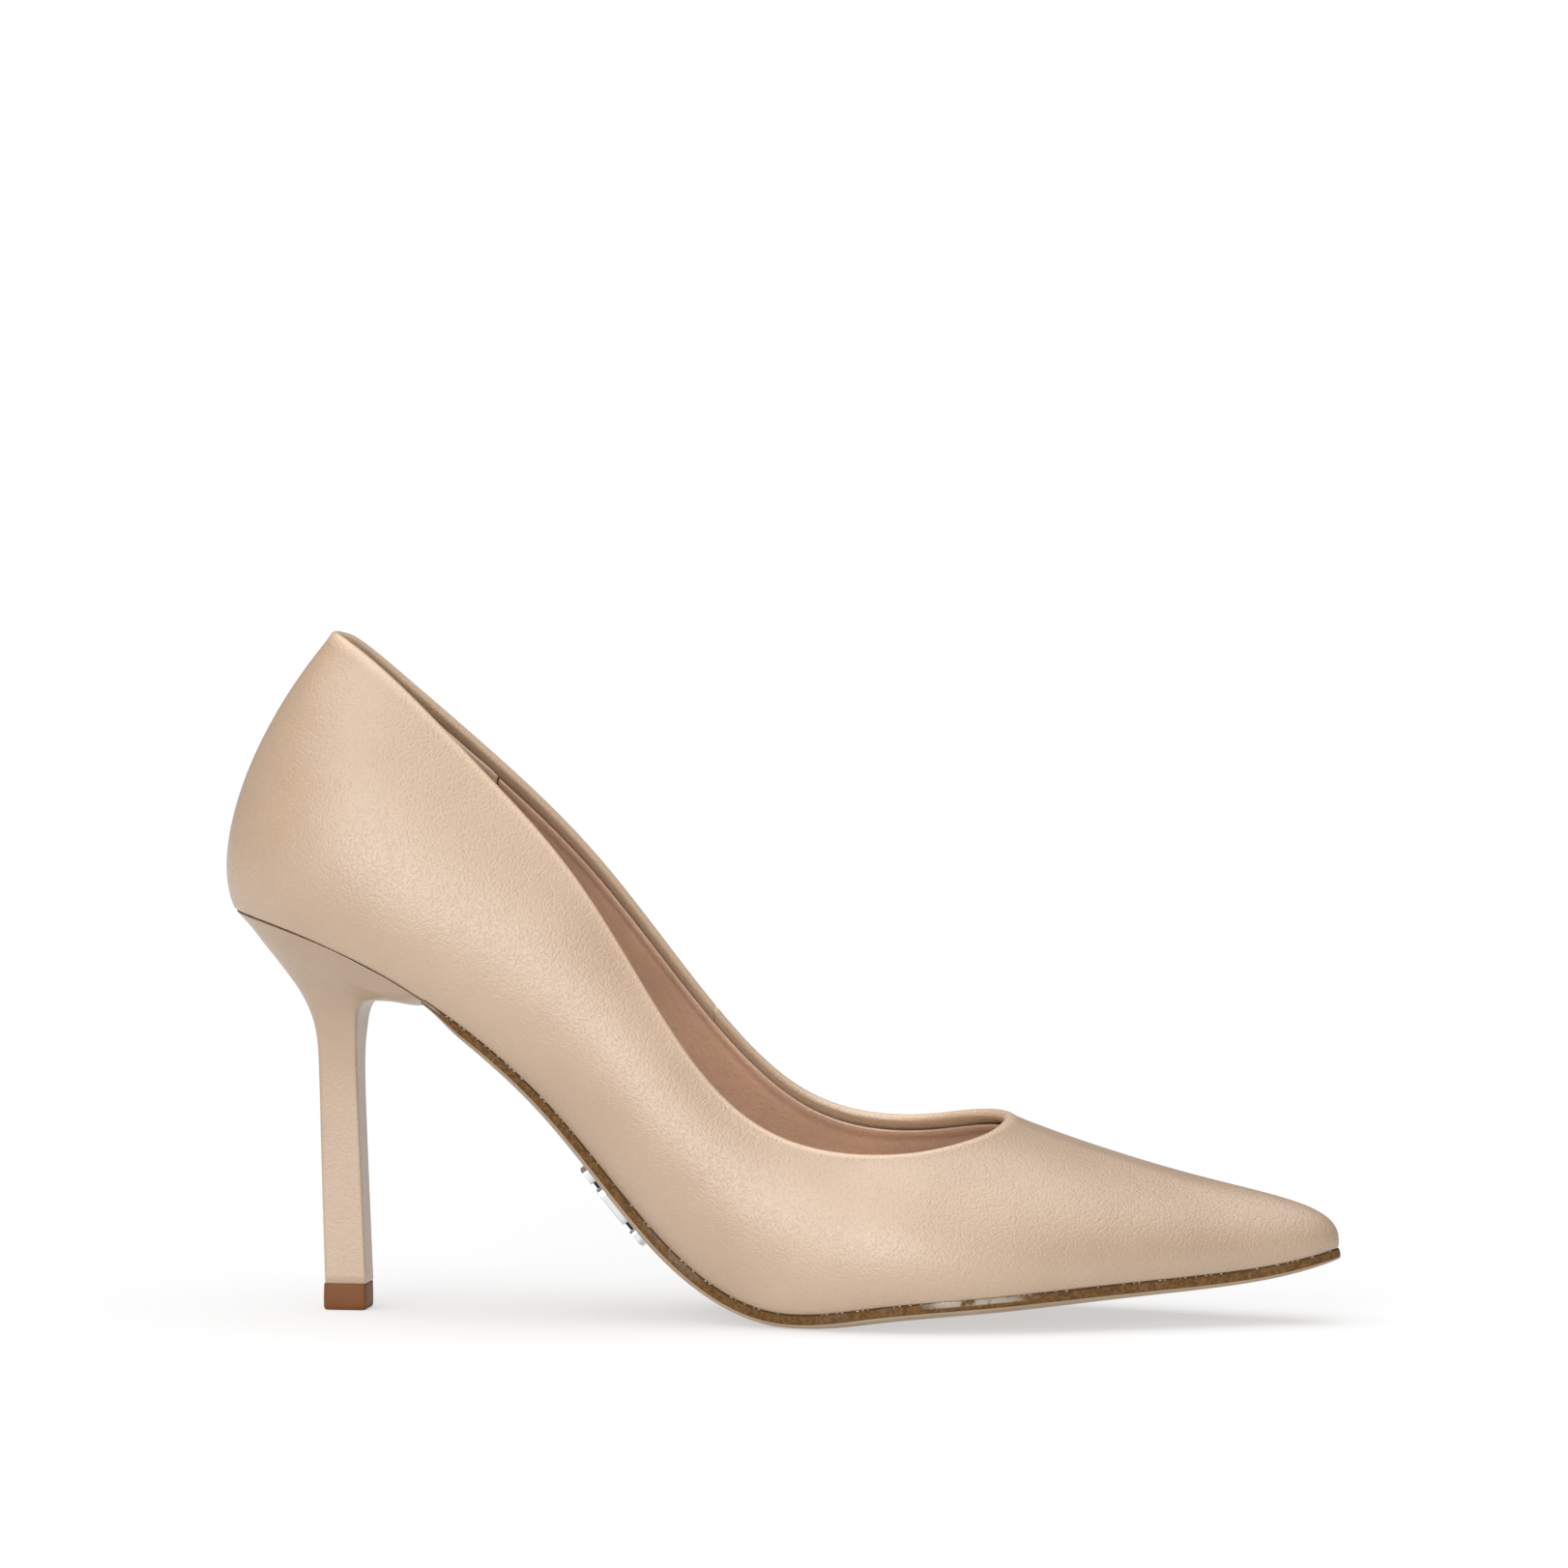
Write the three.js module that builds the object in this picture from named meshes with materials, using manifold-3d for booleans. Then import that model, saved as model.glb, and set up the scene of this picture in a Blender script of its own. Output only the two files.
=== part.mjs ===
// Pointed-toe stiletto court shoe for the right foot, size EU 37, in millimetres.
// +X is the toe, -Y the outer side of the foot, +Z up. The heel tip and the tread stand on Z = 0.
import * as THREE from 'three';
import { mergeVertices } from 'three/addons/utils/BufferGeometryUtils.js';
import Module from 'manifold-3d';

const wasm = await Module();
wasm.setup();

// ---------------------------------------------------------------- driving dimensions
const GAP = 0.3; // air kept between two pieces that touch on the real shoe
const LEATHER = 1.1; // upper leather
const STIFFENER = 0.7; // toe puff and heel counter
const LINING = 0.7; // lining leather
const TAPE = 0.4; // topline tape
const ROLL = 2.5; // width of the leather turned in along the topline
const MARGIN = 8; // lasting margin turned under the insole
const INSOLE = 2.0; // insole board
const SOCK = 0.8; // sock lining
const PAD = 2.2; // foam heel pad under the sock
const OUTSOLE = 1.5; // brown sole
const VENEER = 0.5; // pale bottom layer
const TREAD_LEVEL = 2.6; // lowest height of the feather surface, so that the tread is flat
const SHANK_WIDTH = 10;
const SHANK_THICKNESS = 0.85;
const TIP_HEIGHT = 6; // top piece
const DOWEL_X = -100.2; // axis of the heel's steel dowel
const DOWEL_TOP = 57;
const COVER = 0.6; // leather wrapped round the heel

// Levels above (+) or below (-) the feather surface, along its normal
const INSOLE_LEVEL = 2.3;
const SOCK_LEVEL = INSOLE_LEVEL + INSOLE + 0.5;
const SHANK_LEVEL = INSOLE_LEVEL - GAP - SHANK_THICKNESS;
const LEVEL = {
  margin: [0.3, 0.3 + LEATHER],
  insole: [INSOLE_LEVEL, INSOLE_LEVEL + INSOLE],
  pad: [SOCK_LEVEL, SOCK_LEVEL + PAD],
  shank: [SHANK_LEVEL, SHANK_LEVEL + SHANK_THICKNESS],
  rivetHead: [0.35, SHANK_LEVEL - GAP],
  filler: [0.7, 1.9],
  outsole: [-0.15 - OUTSOLE, -0.15],
  veneer: [-TREAD_LEVEL, VENEER - TREAD_LEVEL],
  badge: [-TREAD_LEVEL - GAP - 1.4, -TREAD_LEVEL - GAP],
  seat: -0.6,
};

// Each rib of the upper is a curve from the feather edge to the topline: feather, wall, belly,
// brow and topline points. The ribs run from the back seam along the outer side to the toe tip,
// and back along the inner side.
const RIBS = [
  [[-124.6, 0, 90.3], [-127.5, 0, 97.2], [-128, 0, 107.7], [-122.1, 0, 129.2], [-102.2, 0, 152.1]],
  [[-117.5, -14, 88.7], [-120, -18, 95.7], [-119, -20.5, 106.7], [-110.3, -16.5, 126.7], [-97.6, -6.2, 150.3]],
  [[-98, -21.5, 82.2], [-99, -27.5, 88.7], [-98, -30.5, 99.7], [-92, -25.5, 120.7], [-84, -11.5, 140.2]],
  [[-76, -22, 70.2], [-75.5, -29, 77.2], [-74, -32.5, 87.7], [-69, -27, 106.7], [-63, -16, 120]],
  [[-50, -19.5, 48], [-49, -27.5, 54.7], [-48, -33, 65.7], [-44, -29, 82.7], [-40.5, -21, 94.7]],
  [[-25.2, -20, 19.05], [-25, -29.5, 26.7], [-24, -35, 38.7], [-21, -31.5, 53.7], [-17.5, -26, 60.2]],
  [[-0.6, -27, 3.9], [-0.5, -35, 10.2], [0.5, -37.5, 20.7], [3, -33.5, 34.7], [4.5, -28.4, 42.2]],
  [[24.6, -33.5, 5.3], [25, -39.5, 10.7], [25.5, -40, 20.7], [26, -34.5, 31.7], [26.5, -26.3, 38.9]],
  [[50, -31.5, 7.8], [51.5, -37, 13.7], [50, -35, 23.7], [45, -26.5, 34.2], [40, -19.8, 40.5]],
  [[77, -21.5, 10.2], [78.5, -26, 17.2], [74, -22.5, 27.7], [60, -14.5, 36.7], [47.5, -11, 42.7]],
  [[103, -9, 12.3], [104.5, -12.5, 19.7], [97, -8.5, 28.2], [72, -4.5, 36.1], [50, -4, 44.5]],
  [[118.2, -2, 14.9], [120.5, -4.5, 23.2], [106, -2, 28.5], [75, -0.8, 35.3], [50.4, -1.2, 45.1]],
  [[123.8, 4.5, 16.3], [126, 4.5, 28.8], [108, 4, 27.7], [76, 2.5, 34.5], [50.4, 1.5, 45.5]],
  [[118.8, 10.5, 14.9], [121, 13.5, 23.2], [107, 9.5, 28.5], [75.5, 5.5, 35.3], [50.2, 4.2, 45.6]],
  [[105, 14, 12.5], [106, 18, 19.7], [98, 14.5, 28.2], [73, 8.5, 36.1], [49.3, 7, 45.6]],
  [[79, 23.5, 10.3], [80, 28.5, 17.7], [75, 24.5, 28.7], [61, 17, 38.2], [45.5, 13.5, 45.5]],
  [[51, 31.5, 7.8], [52, 37.5, 13.7], [50, 36, 24.7], [44, 27, 36.2], [37, 20.7, 44.3]],
  [[24.6, 34, 5.3], [25, 40, 10.7], [25, 40.5, 21.7], [24, 34.5, 34.2], [22.5, 26.6, 42.7]],
  [[-0.6, 27, 3.9], [-0.5, 34.5, 10.2], [0, 36.5, 21.7], [1.5, 33, 36.7], [0.5, 29, 47.7]],
  [[-25.2, 17, 19.45], [-25, 27, 27.7], [-24, 32.5, 39.7], [-22.5, 31, 56.7], [-21.5, 26, 69.2]],
  [[-50, 14, 48.3], [-49.5, 23.5, 55.2], [-48.5, 30.5, 66.7], [-46, 28, 85.7], [-44, 20.5, 99]],
  [[-76, 19, 70.4], [-75.5, 27, 77.5], [-74.5, 31.5, 88.7], [-70.5, 26, 108.2], [-66, 15, 122.1]],
  [[-98, 20.5, 82.3], [-99, 26.5, 88.7], [-98, 29.5, 99.7], [-92.5, 24.5, 121.2], [-86, 11, 140]],
  [[-117.5, 14, 88.7], [-120, 17.5, 95.7], [-119, 20, 106.7], [-110.3, 16, 127.2], [-98.1, 6, 150.3]],
];
const RIB_COUNT = RIBS.length;
const TOE = RIB_COUNT / 2; // the rib at the toe tip
const STEPS_PER_RIB = 2; // slices made between two ribs

// Heights along a rib, from the feather edge (0) to the topline (1), shared by every shell
const LOW = 0.12; // lower edge of the linings and stiffeners
const COUNTER_TOP = 0.7;
const PUFF_TOP = 0.57;
const TAPE_BOTTOM = 0.8;
const HIGH = 0.9; // upper edge of the linings and the tape
const HEIGHTS = [0, 0.05, LOW, 0.26, 0.42, PUFF_TOP, COUNTER_TOP, TAPE_BOTTOM, HIGH, 0.96, 1];

// Heel sections from the seat rim down to the top piece: back x, front x, half width,
// back z, front z, squareness, and how far the core's front stays behind the cover's
const HEEL = [
  [-124.1, -77.5, 20.8, 0, 0, 2.2, 6],
  [-120.6, -80.3, 18, 86.1, 69.1, 2.2, 6],
  [-117.8, -84.7, 16, 82.7, 69.7, 2.3, 5],
  [-115.1, -88.8, 14.1, 79.4, 70.1, 2.4, 4],
  [-112.5, -92, 12.2, 76.1, 69.9, 2.6, 2.6],
  [-110, -94.2, 10.4, 72.7, 68.7, 2.8, 1.8],
  [-108, -95.3, 8.8, 69.2, 66.5, 3, 1.3],
  [-106.5, -95.8, 7.3, 65.5, 63.1, 3.2, 1],
  [-105.5, -96.1, 6, 60.2, 58.3, 3.4, 1],
  [-105.1, -96.1, 5.2, 50.7, 49.7, 3.6, 1],
  [-104.6, -95.5, 4.8, 30.7, 30.7, 3.8, 1],
  [-103.9, -94.6, 4.7, TIP_HEIGHT + GAP, TIP_HEIGHT + GAP, 4, 1],
];
const HEEL_SIDES = 24;
const SEAT_X = -97; // middle of the heel seat

// ---------------------------------------------------------------- curves
// Smooth closed curve through evenly numbered points (second derivatives by relaxation)
function closedSpline(values) {
  const n = values.length;
  const bend = new Array(n).fill(0);
  const at = (list, i) => list[(i + n) % n];
  for (let sweep = 0; sweep < 40; sweep++) {
    for (let i = 0; i < n; i++) {
      const second = at(values, i - 1) - 2 * values[i] + at(values, i + 1);
      bend[i] = (6 * second - at(bend, i - 1) - at(bend, i + 1)) / 4;
    }
  }
  return (a) => {
    const wrapped = ((a % n) + n) % n;
    const i = Math.floor(wrapped);
    const t = wrapped - i;
    const s = 1 - t;
    return s * values[i] + t * at(values, i + 1)
      + ((s ** 3 - s) * bend[i] + (t ** 3 - t) * at(bend, i + 1)) / 6;
  };
}

function closedSpline3(points) {
  const [x, y, z] = [0, 1, 2].map((axis) => closedSpline(points.map((p) => p[axis])));
  return (a) => new THREE.Vector3(x(a), y(a), z(a));
}

const ribLoops = [0, 1, 2, 3, 4].map((row) => closedSpline3(RIBS.map((rib) => rib[row])));
const feather = ribLoops[0];

// Outer face of the upper at rib number a and height b
function skin(a, b) {
  const s = 1 - b;
  const weights = [s ** 4, 4 * s ** 3 * b, 6 * s * s * b * b, 4 * s * b ** 3, b ** 4];
  const point = new THREE.Vector3();
  ribLoops.forEach((loop, i) => point.addScaledVector(loop(a), weights[i]));
  return point;
}

function skinNormal(a, b) {
  const h = 0.02;
  const low = Math.max(b - h, 0);
  const high = Math.min(b + h, 1);
  const along = skin(a + h, b).sub(skin(a - h, b));
  const up = skin(a, high).sub(skin(a, low));
  return along.cross(up).normalize();
}

const inside = (a, b, depth) => skin(a, b).addScaledVector(skinNormal(a, b), -depth);

// ---------------------------------------------------------------- feather surface
// s runs from the back (0) to the toe tip (TOE) along the middle; side runs from -1, the outer
// edge, to 1, the inner edge.
const middle = (s) => feather(s).add(feather(RIB_COUNT - s)).multiplyScalar(0.5);

function soleNormal(s) {
  const c = Math.min(Math.max(s, 0.4), TOE - 0.4);
  const d = middle(c + 0.15).sub(middle(c - 0.15));
  return new THREE.Vector3(-d.z, 0, d.x).normalize();
}

const alongSole = (a) => (a <= TOE ? a : RIB_COUNT - a);

// The feather edge moved inwards in the plane of the sole
function insetEdge(a, inset) {
  const tangent = feather(a + 0.02).sub(feather(a - 0.02));
  const inward = soleNormal(alongSole(a)).cross(tangent).normalize();
  return feather(a).addScaledVector(inward, inset);
}

const CROWN = 0.03; // how far the sole's middle sags, as a share of its width

// Sag at a share of the half width: 0 along the middle, 1 at the feather edge
const sag = (width, share) => CROWN * width * (1 - Math.min(Math.abs(share), 1) ** 4);
const widthAt = (a) => feather(a).distanceTo(feather(RIB_COUNT - a));

// A point of the feather plane brought down by the sag, never below the tread, then raised
function lowered(point, normal, drop, level) {
  point.addScaledVector(normal, -drop);
  point.z = Math.max(point.z, TREAD_LEVEL);
  return point.addScaledVector(normal, level);
}

function rung(s, side, inset, level) {
  const outer = insetEdge(s, inset);
  const inner = insetEdge(RIB_COUNT - s, inset);
  const width = widthAt(s);
  const point = outer.clone().lerp(inner, (side + 1) / 2);
  const share = (side * outer.distanceTo(inner)) / Math.max(width, 1);
  const normal = soleNormal(s);
  return lowered(point, normal, sag(width, share), level);
}

function stationAt(x) {
  let low = 0;
  let high = TOE;
  for (let i = 0; i < 40; i++) {
    const mid = (low + high) / 2;
    if (middle(mid).x < x) low = mid;
    else high = mid;
  }
  return (low + high) / 2;
}

// The point of the feather surface over x, y, raised by level
function soleAt(x, y, level) {
  const s = stationAt(x);
  const outer = feather(s).y;
  const inner = feather(RIB_COUNT - s).y;
  return rung(s, ((y - outer) / (inner - outer)) * 2 - 1, 0, level);
}

// ---------------------------------------------------------------- solids
// A solid lofted through rings of equally many points. A closed loft returns to its first ring;
// otherwise the ends are filled, as a strip (for slabs) or as a fan (for round rings).
function loft(rings, { closed = false, cap = 'strip' } = {}) {
  const count = rings[0].length;
  const positions = rings.flat().flatMap((p) => [p.x, p.y, p.z]);
  const index = [];
  const spans = closed ? rings.length : rings.length - 1;
  for (let i = 0; i < spans; i++) {
    const here = i * count;
    const next = ((i + 1) % rings.length) * count;
    for (let j = 0; j < count; j++) {
      const k = (j + 1) % count;
      index.push(here + j, here + k, next + k, here + j, next + k, next + j);
    }
  }
  const fill = (start, flip) => {
    const face = (p, q, r) => index.push(...(flip ? [p, r, q] : [p, q, r]));
    if (cap === 'strip') {
      for (let j = 0; j < count / 2 - 1; j++) {
        face(start + j, start + count - 1 - j, start + j + 1);
        face(start + j + 1, start + count - 1 - j, start + count - 2 - j);
      }
      return;
    }
    const centre = new THREE.Vector3();
    for (let j = 0; j < count; j++) {
      centre.add(new THREE.Vector3().fromArray(positions, 3 * (start + j)));
    }
    centre.divideScalar(count);
    const hub = positions.push(centre.x, centre.y, centre.z) / 3 - 1;
    for (let j = 0; j < count; j++) face(hub, start + ((j + 1) % count), start + j);
  };
  if (!closed) {
    fill(0, false);
    fill((rings.length - 1) * count, true);
  }
  const geometry = new THREE.BufferGeometry();
  geometry.setAttribute('position', new THREE.Float32BufferAttribute(positions, 3));
  geometry.setIndex(index);
  return facingOut(mergeVertices(geometry, 1e-4));
}

// Turns every face round when the faces point into the solid, and drops empty faces
function facingOut(geometry) {
  const position = geometry.getAttribute('position');
  const corner = (i) => new THREE.Vector3().fromBufferAttribute(position, i);
  const index = [...geometry.getIndex().array];
  const kept = [];
  let volume = 0;
  for (let i = 0; i < index.length; i += 3) {
    const [p, q, r] = index.slice(i, i + 3);
    if (p === q || q === r || r === p) continue;
    kept.push(p, q, r);
    volume += corner(p).dot(corner(q).cross(corner(r)));
  }
  if (volume < 0) kept.reverse();
  geometry.setIndex(kept);
  return geometry;
}

function plain(geometry) {
  const bare = geometry.clone();
  bare.deleteAttribute('normal');
  bare.deleteAttribute('uv');
  return mergeVertices(bare, 1e-4);
}

function toSolid(geometry) {
  return new wasm.Manifold(new wasm.Mesh({
    numProp: 3,
    vertProperties: new Float32Array(geometry.getAttribute('position').array),
    triVerts: new Uint32Array(geometry.getIndex().array),
  }));
}

function toGeometry(solid) {
  const mesh = solid.getMesh();
  const geometry = new THREE.BufferGeometry();
  geometry.setAttribute('position', new THREE.BufferAttribute(mesh.vertProperties, 3));
  geometry.setIndex(new THREE.BufferAttribute(mesh.triVerts, 1));
  return geometry;
}

const cut = (body, tools) => toGeometry(tools.reduce((b, t) => b.subtract(toSolid(t)), toSolid(body)));
const join = (body, tools) => toGeometry(tools.reduce((b, t) => b.add(toSolid(t)), toSolid(body)));

// A round bar from one point to another
function bar(from, to, radius, endRadius = radius, sides = 8) {
  const length = from.distanceTo(to);
  const geometry = plain(new THREE.CylinderGeometry(endRadius, radius, length, sides));
  const turn = new THREE.Quaternion().setFromUnitVectors(
    new THREE.Vector3(0, 1, 0), to.clone().sub(from).normalize());
  const centre = from.clone().add(to).multiplyScalar(0.5);
  return geometry.applyMatrix4(
    new THREE.Matrix4().compose(centre, turn, new THREE.Vector3(1, 1, 1)));
}

// ---------------------------------------------------------------- upper and its layers
// The two ends, and the values of a list that lie well between them
const span = (from, to, list) => [from, ...list.filter((x) => x > from + 0.02 && x < to - 0.02), to];
const sliceNumbers = Array.from(
  { length: 2 * RIB_COUNT * STEPS_PER_RIB }, (_, i) => i / STEPS_PER_RIB - RIB_COUNT / 2);
const ribNumbers = (from, to) => span(from, to, sliceNumbers);
const ALL_ROUND = ribNumbers(0, RIB_COUNT).slice(0, -1);

function marginDepth(a) {
  return Math.min(MARGIN, 0.22 * widthAt(a) + 1.8);
}

function upperSection(a) {
  const ring = [];
  const normal = soleNormal(alongSole(a));
  const width = Math.max(widthAt(a), 1);
  const under = (inset, level) => lowered(
    insetEdge(a, inset), normal, sag(width, 1 - (2 * inset) / width), level);
  ring.push(under(marginDepth(a), LEVEL.margin[0]));
  ring.push(under(0.2, LEVEL.margin[0]));
  for (const b of HEIGHTS.slice(1)) ring.push(skin(a, b));
  ring.push(inside(a, 1, ROLL));
  ring.push(inside(a, HEIGHTS.at(-2), ROLL));
  for (const b of HEIGHTS.slice(1, -2).reverse()) ring.push(inside(a, b, LEATHER));
  ring.push(under(LEATHER + 0.3, LEVEL.margin[1]));
  ring.push(under(marginDepth(a), LEVEL.margin[1]));
  return ring;
}

// A layer inside the upper, between two ribs and two heights
function layer(ribs, lowest, highest, depth, thickness) {
  const rows = span(lowest, highest, HEIGHTS);
  return ribs.map((a) => [
    ...rows.map((b) => inside(a, b, depth)),
    ...rows.slice().reverse().map((b) => inside(a, b, depth + thickness)),
  ]);
}

const STIFFENER_DEPTH = LEATHER + 0.4;
const LINING_DEPTH = STIFFENER_DEPTH + STIFFENER + GAP;
const GRIP_END = 3; // the heel grip reaches three ribs to each side of the back seam
const BUTT = 0.02; // half the gap between grip and lining, in rib numbers
const liningFrom = (from, to) => loft(layer(ribNumbers(from, to), LOW, HIGH, LINING_DEPTH, LINING));
const stiffener = (from, to, top) => loft(
  layer(ribNumbers(from, to), LOW, top, STIFFENER_DEPTH, STIFFENER));

const upper = loft(ALL_ROUND.map(upperSection), { closed: true });
const vampLining = liningFrom(GRIP_END + BUTT, RIB_COUNT - GRIP_END - BUTT);
const gripLining = liningFrom(-GRIP_END, GRIP_END);
const toePuff = stiffener(TOE - 2.5, TOE + 2.5, PUFF_TOP);
const counter = stiffener(-4, 4, COUNTER_TOP);
const toplineTape = loft(
  layer(ALL_ROUND, TAPE_BOTTOM, HIGH, STIFFENER_DEPTH, TAPE), { closed: true });

// ---------------------------------------------------------------- sole layers
const SIDES = [-1, -0.8, -0.5, 0, 0.5, 0.8, 1];
const END_SHIFT = 0.1; // keeps the last rung of a plate off the pole of the feather edge

// A plate between two ribs; its inset from the feather edge and its levels may change along it
function plate(from, to, insetAt, levelsAt) {
  const rings = [];
  for (const s of ribNumbers(from, to)) {
    const inset = insetAt(s);
    const [low, high] = levelsAt(s);
    const outer = insetEdge(s, inset);
    const inner = insetEdge(RIB_COUNT - s, inset);
    if (inner.y - outer.y < 1) continue;
    rings.push([
      ...SIDES.map((side) => rung(s, side, inset, high)),
      ...SIDES.slice().reverse().map((side) => rung(s, side, inset, low)),
    ]);
  }
  return loft(rings);
}
const always = (value) => () => value;

// A strip along the middle of the sole, from x to x, its half width given by a function of x
function strip(from, to, halfWidth, [low, high]) {
  const rings = span(stationAt(from), stationAt(to), sliceNumbers).map((s) => {
    const { x } = middle(s);
    const w = halfWidth(x);
    const corner = (y, level) => soleAt(x, y, level);
    return [corner(-w, high), corner(0, high), corner(w, high),
      corner(w, low), corner(0, low), corner(-w, low)];
  });
  return loft(rings);
}

const HEEL_FRONT = 3; // rib number at the heel breast
const INNER_EDGE = 3; // distance of the insole's edge from the feather edge

// Screws, nails and rivets stand along the sole's normal at x, y
function along(x, y, from, to, radius, endRadius) {
  return bar(soleAt(x, y, from), soleAt(x, y, to), radius, endRadius);
}

const NAILS = [[-108, -7.5], [-108, 7.5], [-90, -8], [-90, 8]];
const RIVETS = [-78, -26];
const SCREW_X = -92;
const SCREW_LENGTH = 20;
const NAIL_LENGTH = 10;
const boardTop = LEVEL.insole[1];

const screwParts = (grow) => [
  along(SCREW_X, 0, boardTop - 1 - grow, boardTop + 2 * grow, 3.4 + grow),
  along(SCREW_X, 0, boardTop - SCREW_LENGTH - grow, boardTop - 0.5, 1.2 + grow, 1.8 + grow),
];
const nailParts = ([x, y], grow) => [
  along(x, y, boardTop - 0.6 - grow, boardTop + 2 * grow, 1.5 + grow),
  along(x, y, boardTop - NAIL_LENGTH - grow, boardTop - 0.3, 0.6 + grow, 0.8 + grow),
];
const rivetParts = (x, grow) => [
  along(x, 0, boardTop - 0.6 - grow, boardTop + 2 * grow, 2.4 + grow),
  along(x, 0, LEVEL.rivetHead[0] + 0.1, boardTop - 0.3, 1.4 + grow),
  along(x, 0, LEVEL.rivetHead[0] - grow, LEVEL.rivetHead[1] + grow, 2.2 + grow),
];
const assemble = ([first, ...rest]) => join(first, rest);
const HOLE = GAP; // radial clearance of every hole

const holesInBoard = [
  ...screwParts(HOLE), ...NAILS.flatMap((n) => nailParts(n, HOLE)),
  ...RIVETS.flatMap((x) => rivetParts(x, HOLE)),
];
const wholeSole = (inset, level) => plate(END_SHIFT, TOE - END_SHIFT, always(inset), always(level));
const insole = cut(wholeSole(INNER_EDGE, LEVEL.insole), holesInBoard);
const SHANK = { from: -98, to: -4 };
const shankHalfWidth = (x) => {
  const end = Math.min(1, Math.min(x - SHANK.from, SHANK.to - x) / 6);
  return (SHANK_WIDTH / 2) * (0.6 + 0.4 * Math.sqrt(Math.max(end * (2 - end), 0)));
};
const shankStrip = strip(SHANK.from, SHANK.to, shankHalfWidth, LEVEL.shank);
const shank = cut(shankStrip, [...screwParts(HOLE), ...RIVETS.flatMap((x) => rivetParts(x, HOLE))]);
const filler = plate(6.2, 10.6, (a) => marginDepth(a) + 0.8, always(LEVEL.filler));

// The foam pad lies under the heel, and the sock runs over it and down onto the board
const PAD_END = 3.6;
const SOCK_DOWN = 4.6;
const pad = plate(END_SHIFT, PAD_END, always(INNER_EDGE + 2.6), always(LEVEL.pad));
const sockLevels = (s) => {
  const lift = THREE.MathUtils.clamp((SOCK_DOWN - s) / (SOCK_DOWN - PAD_END - 0.3), 0, 1);
  const low = SOCK_LEVEL + lift * (PAD + GAP);
  return [low, low + SOCK];
};
const sock = plate(END_SHIFT, TOE - 0.6, always(INNER_EDGE + 1.8), sockLevels);

// ---------------------------------------------------------------- sole badge
const BADGE = { from: -42, to: -26.5, half: 3.2 };
const badgeHalfWidth = (x) => {
  const t = (2 * (x - BADGE.from)) / (BADGE.to - BADGE.from) - 1;
  return BADGE.half * Math.max(0.25, (1 - Math.abs(t) ** 5)) ** 0.5;
};
const badgePins = (grow) => [BADGE.from + 3.5, BADGE.to - 3.5].map(
  (x) => along(x, 0, LEVEL.badge[0] + 0.5, -0.7 + grow, 0.7 + grow));
const grooves = [1 / 3, 2 / 3].map((share) => {
  const x = BADGE.from + share * (BADGE.to - BADGE.from);
  const across = (side) => soleAt(x, side * 6, LEVEL.badge[0]);
  return bar(across(-1), across(1), 0.55, 0.55, 8);
});
const badgePlate = strip(BADGE.from, BADGE.to, badgeHalfWidth, LEVEL.badge);
const badge = cut(join(badgePlate, badgePins(0)), grooves);

const bottomLayer = (inset, level) => plate(
  HEEL_FRONT, TOE - END_SHIFT, always(inset), always(level));
const outsole = cut(bottomLayer(-0.1, LEVEL.outsole), badgePins(HOLE));
const veneerPlate = bottomLayer(0.1, LEVEL.veneer);
const veneerPoints = veneerPlate.getAttribute('position');
for (let i = 0; i < veneerPoints.count; i++) {
  if (veneerPoints.getZ(i) < 0.1) veneerPoints.setZ(i, 0);
}
const veneer = cut(veneerPlate, badgePins(HOLE));

// ---------------------------------------------------------------- heel
function heelRing([back, front, half, zBack, zFront, square], inset, frontInset, scale = 1) {
  const isRim = zBack === 0;
  const ring = [];
  const xb = back + inset;
  const xf = front - frontInset;
  const xc = isRim ? -95 : (xb + xf) / 2;
  for (let k = 0; k < HEEL_SIDES; k++) {
    const angle = (2 * Math.PI * k) / HEEL_SIDES;
    const c = Math.cos(angle);
    const s = Math.sin(angle);
    const frontPower = isRim ? 6 : square + 1.2;
    const power = 2 / (c > 0 ? frontPower : square);
    const x = xc + (c > 0 ? xf - xc : xc - xb) * Math.sign(c) * Math.abs(c) ** power;
    const y = (half - inset) * Math.sign(s) * Math.abs(s) ** power;
    if (isRim) {
      ring.push(soleAt(SEAT_X + (x - SEAT_X) * scale, y * scale, LEVEL.seat));
    } else {
      ring.push(new THREE.Vector3(x, y, zBack + ((zFront - zBack) * (x - back)) / (front - back)));
    }
  }
  return ring;
}

const coverOuter = HEEL.map((row) => heelRing(row, 0, 0));
const coverInner = HEEL.map((row) => heelRing(row, COVER, Math.max(COVER, row[6] - 1)));
const CORE_INSET = COVER + 0.65;
const coreRings = HEEL.map((row) => heelRing(row, CORE_INSET, row[6]));
const heelCover = loft([...coverOuter, ...coverInner.slice().reverse()], { closed: true });
const seatRings = [0.04, 0.5].map((scale) => heelRing(HEEL[0], CORE_INSET, HEEL[0][6], scale));
const coreBody = loft([...seatRings, ...coreRings], { cap: 'fan' });
const onDowel = (z) => new THREE.Vector3(DOWEL_X, 0, z);
const dowelHole = bar(onDowel(TIP_HEIGHT - 1), onDowel(DOWEL_TOP + GAP), 2.2 + HOLE, 2.2 + HOLE, 12);
const heelCore = cut(coreBody, [dowelHole, ...screwParts(HOLE), ...NAILS.flatMap((n) => nailParts(n, HOLE))]);

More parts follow.
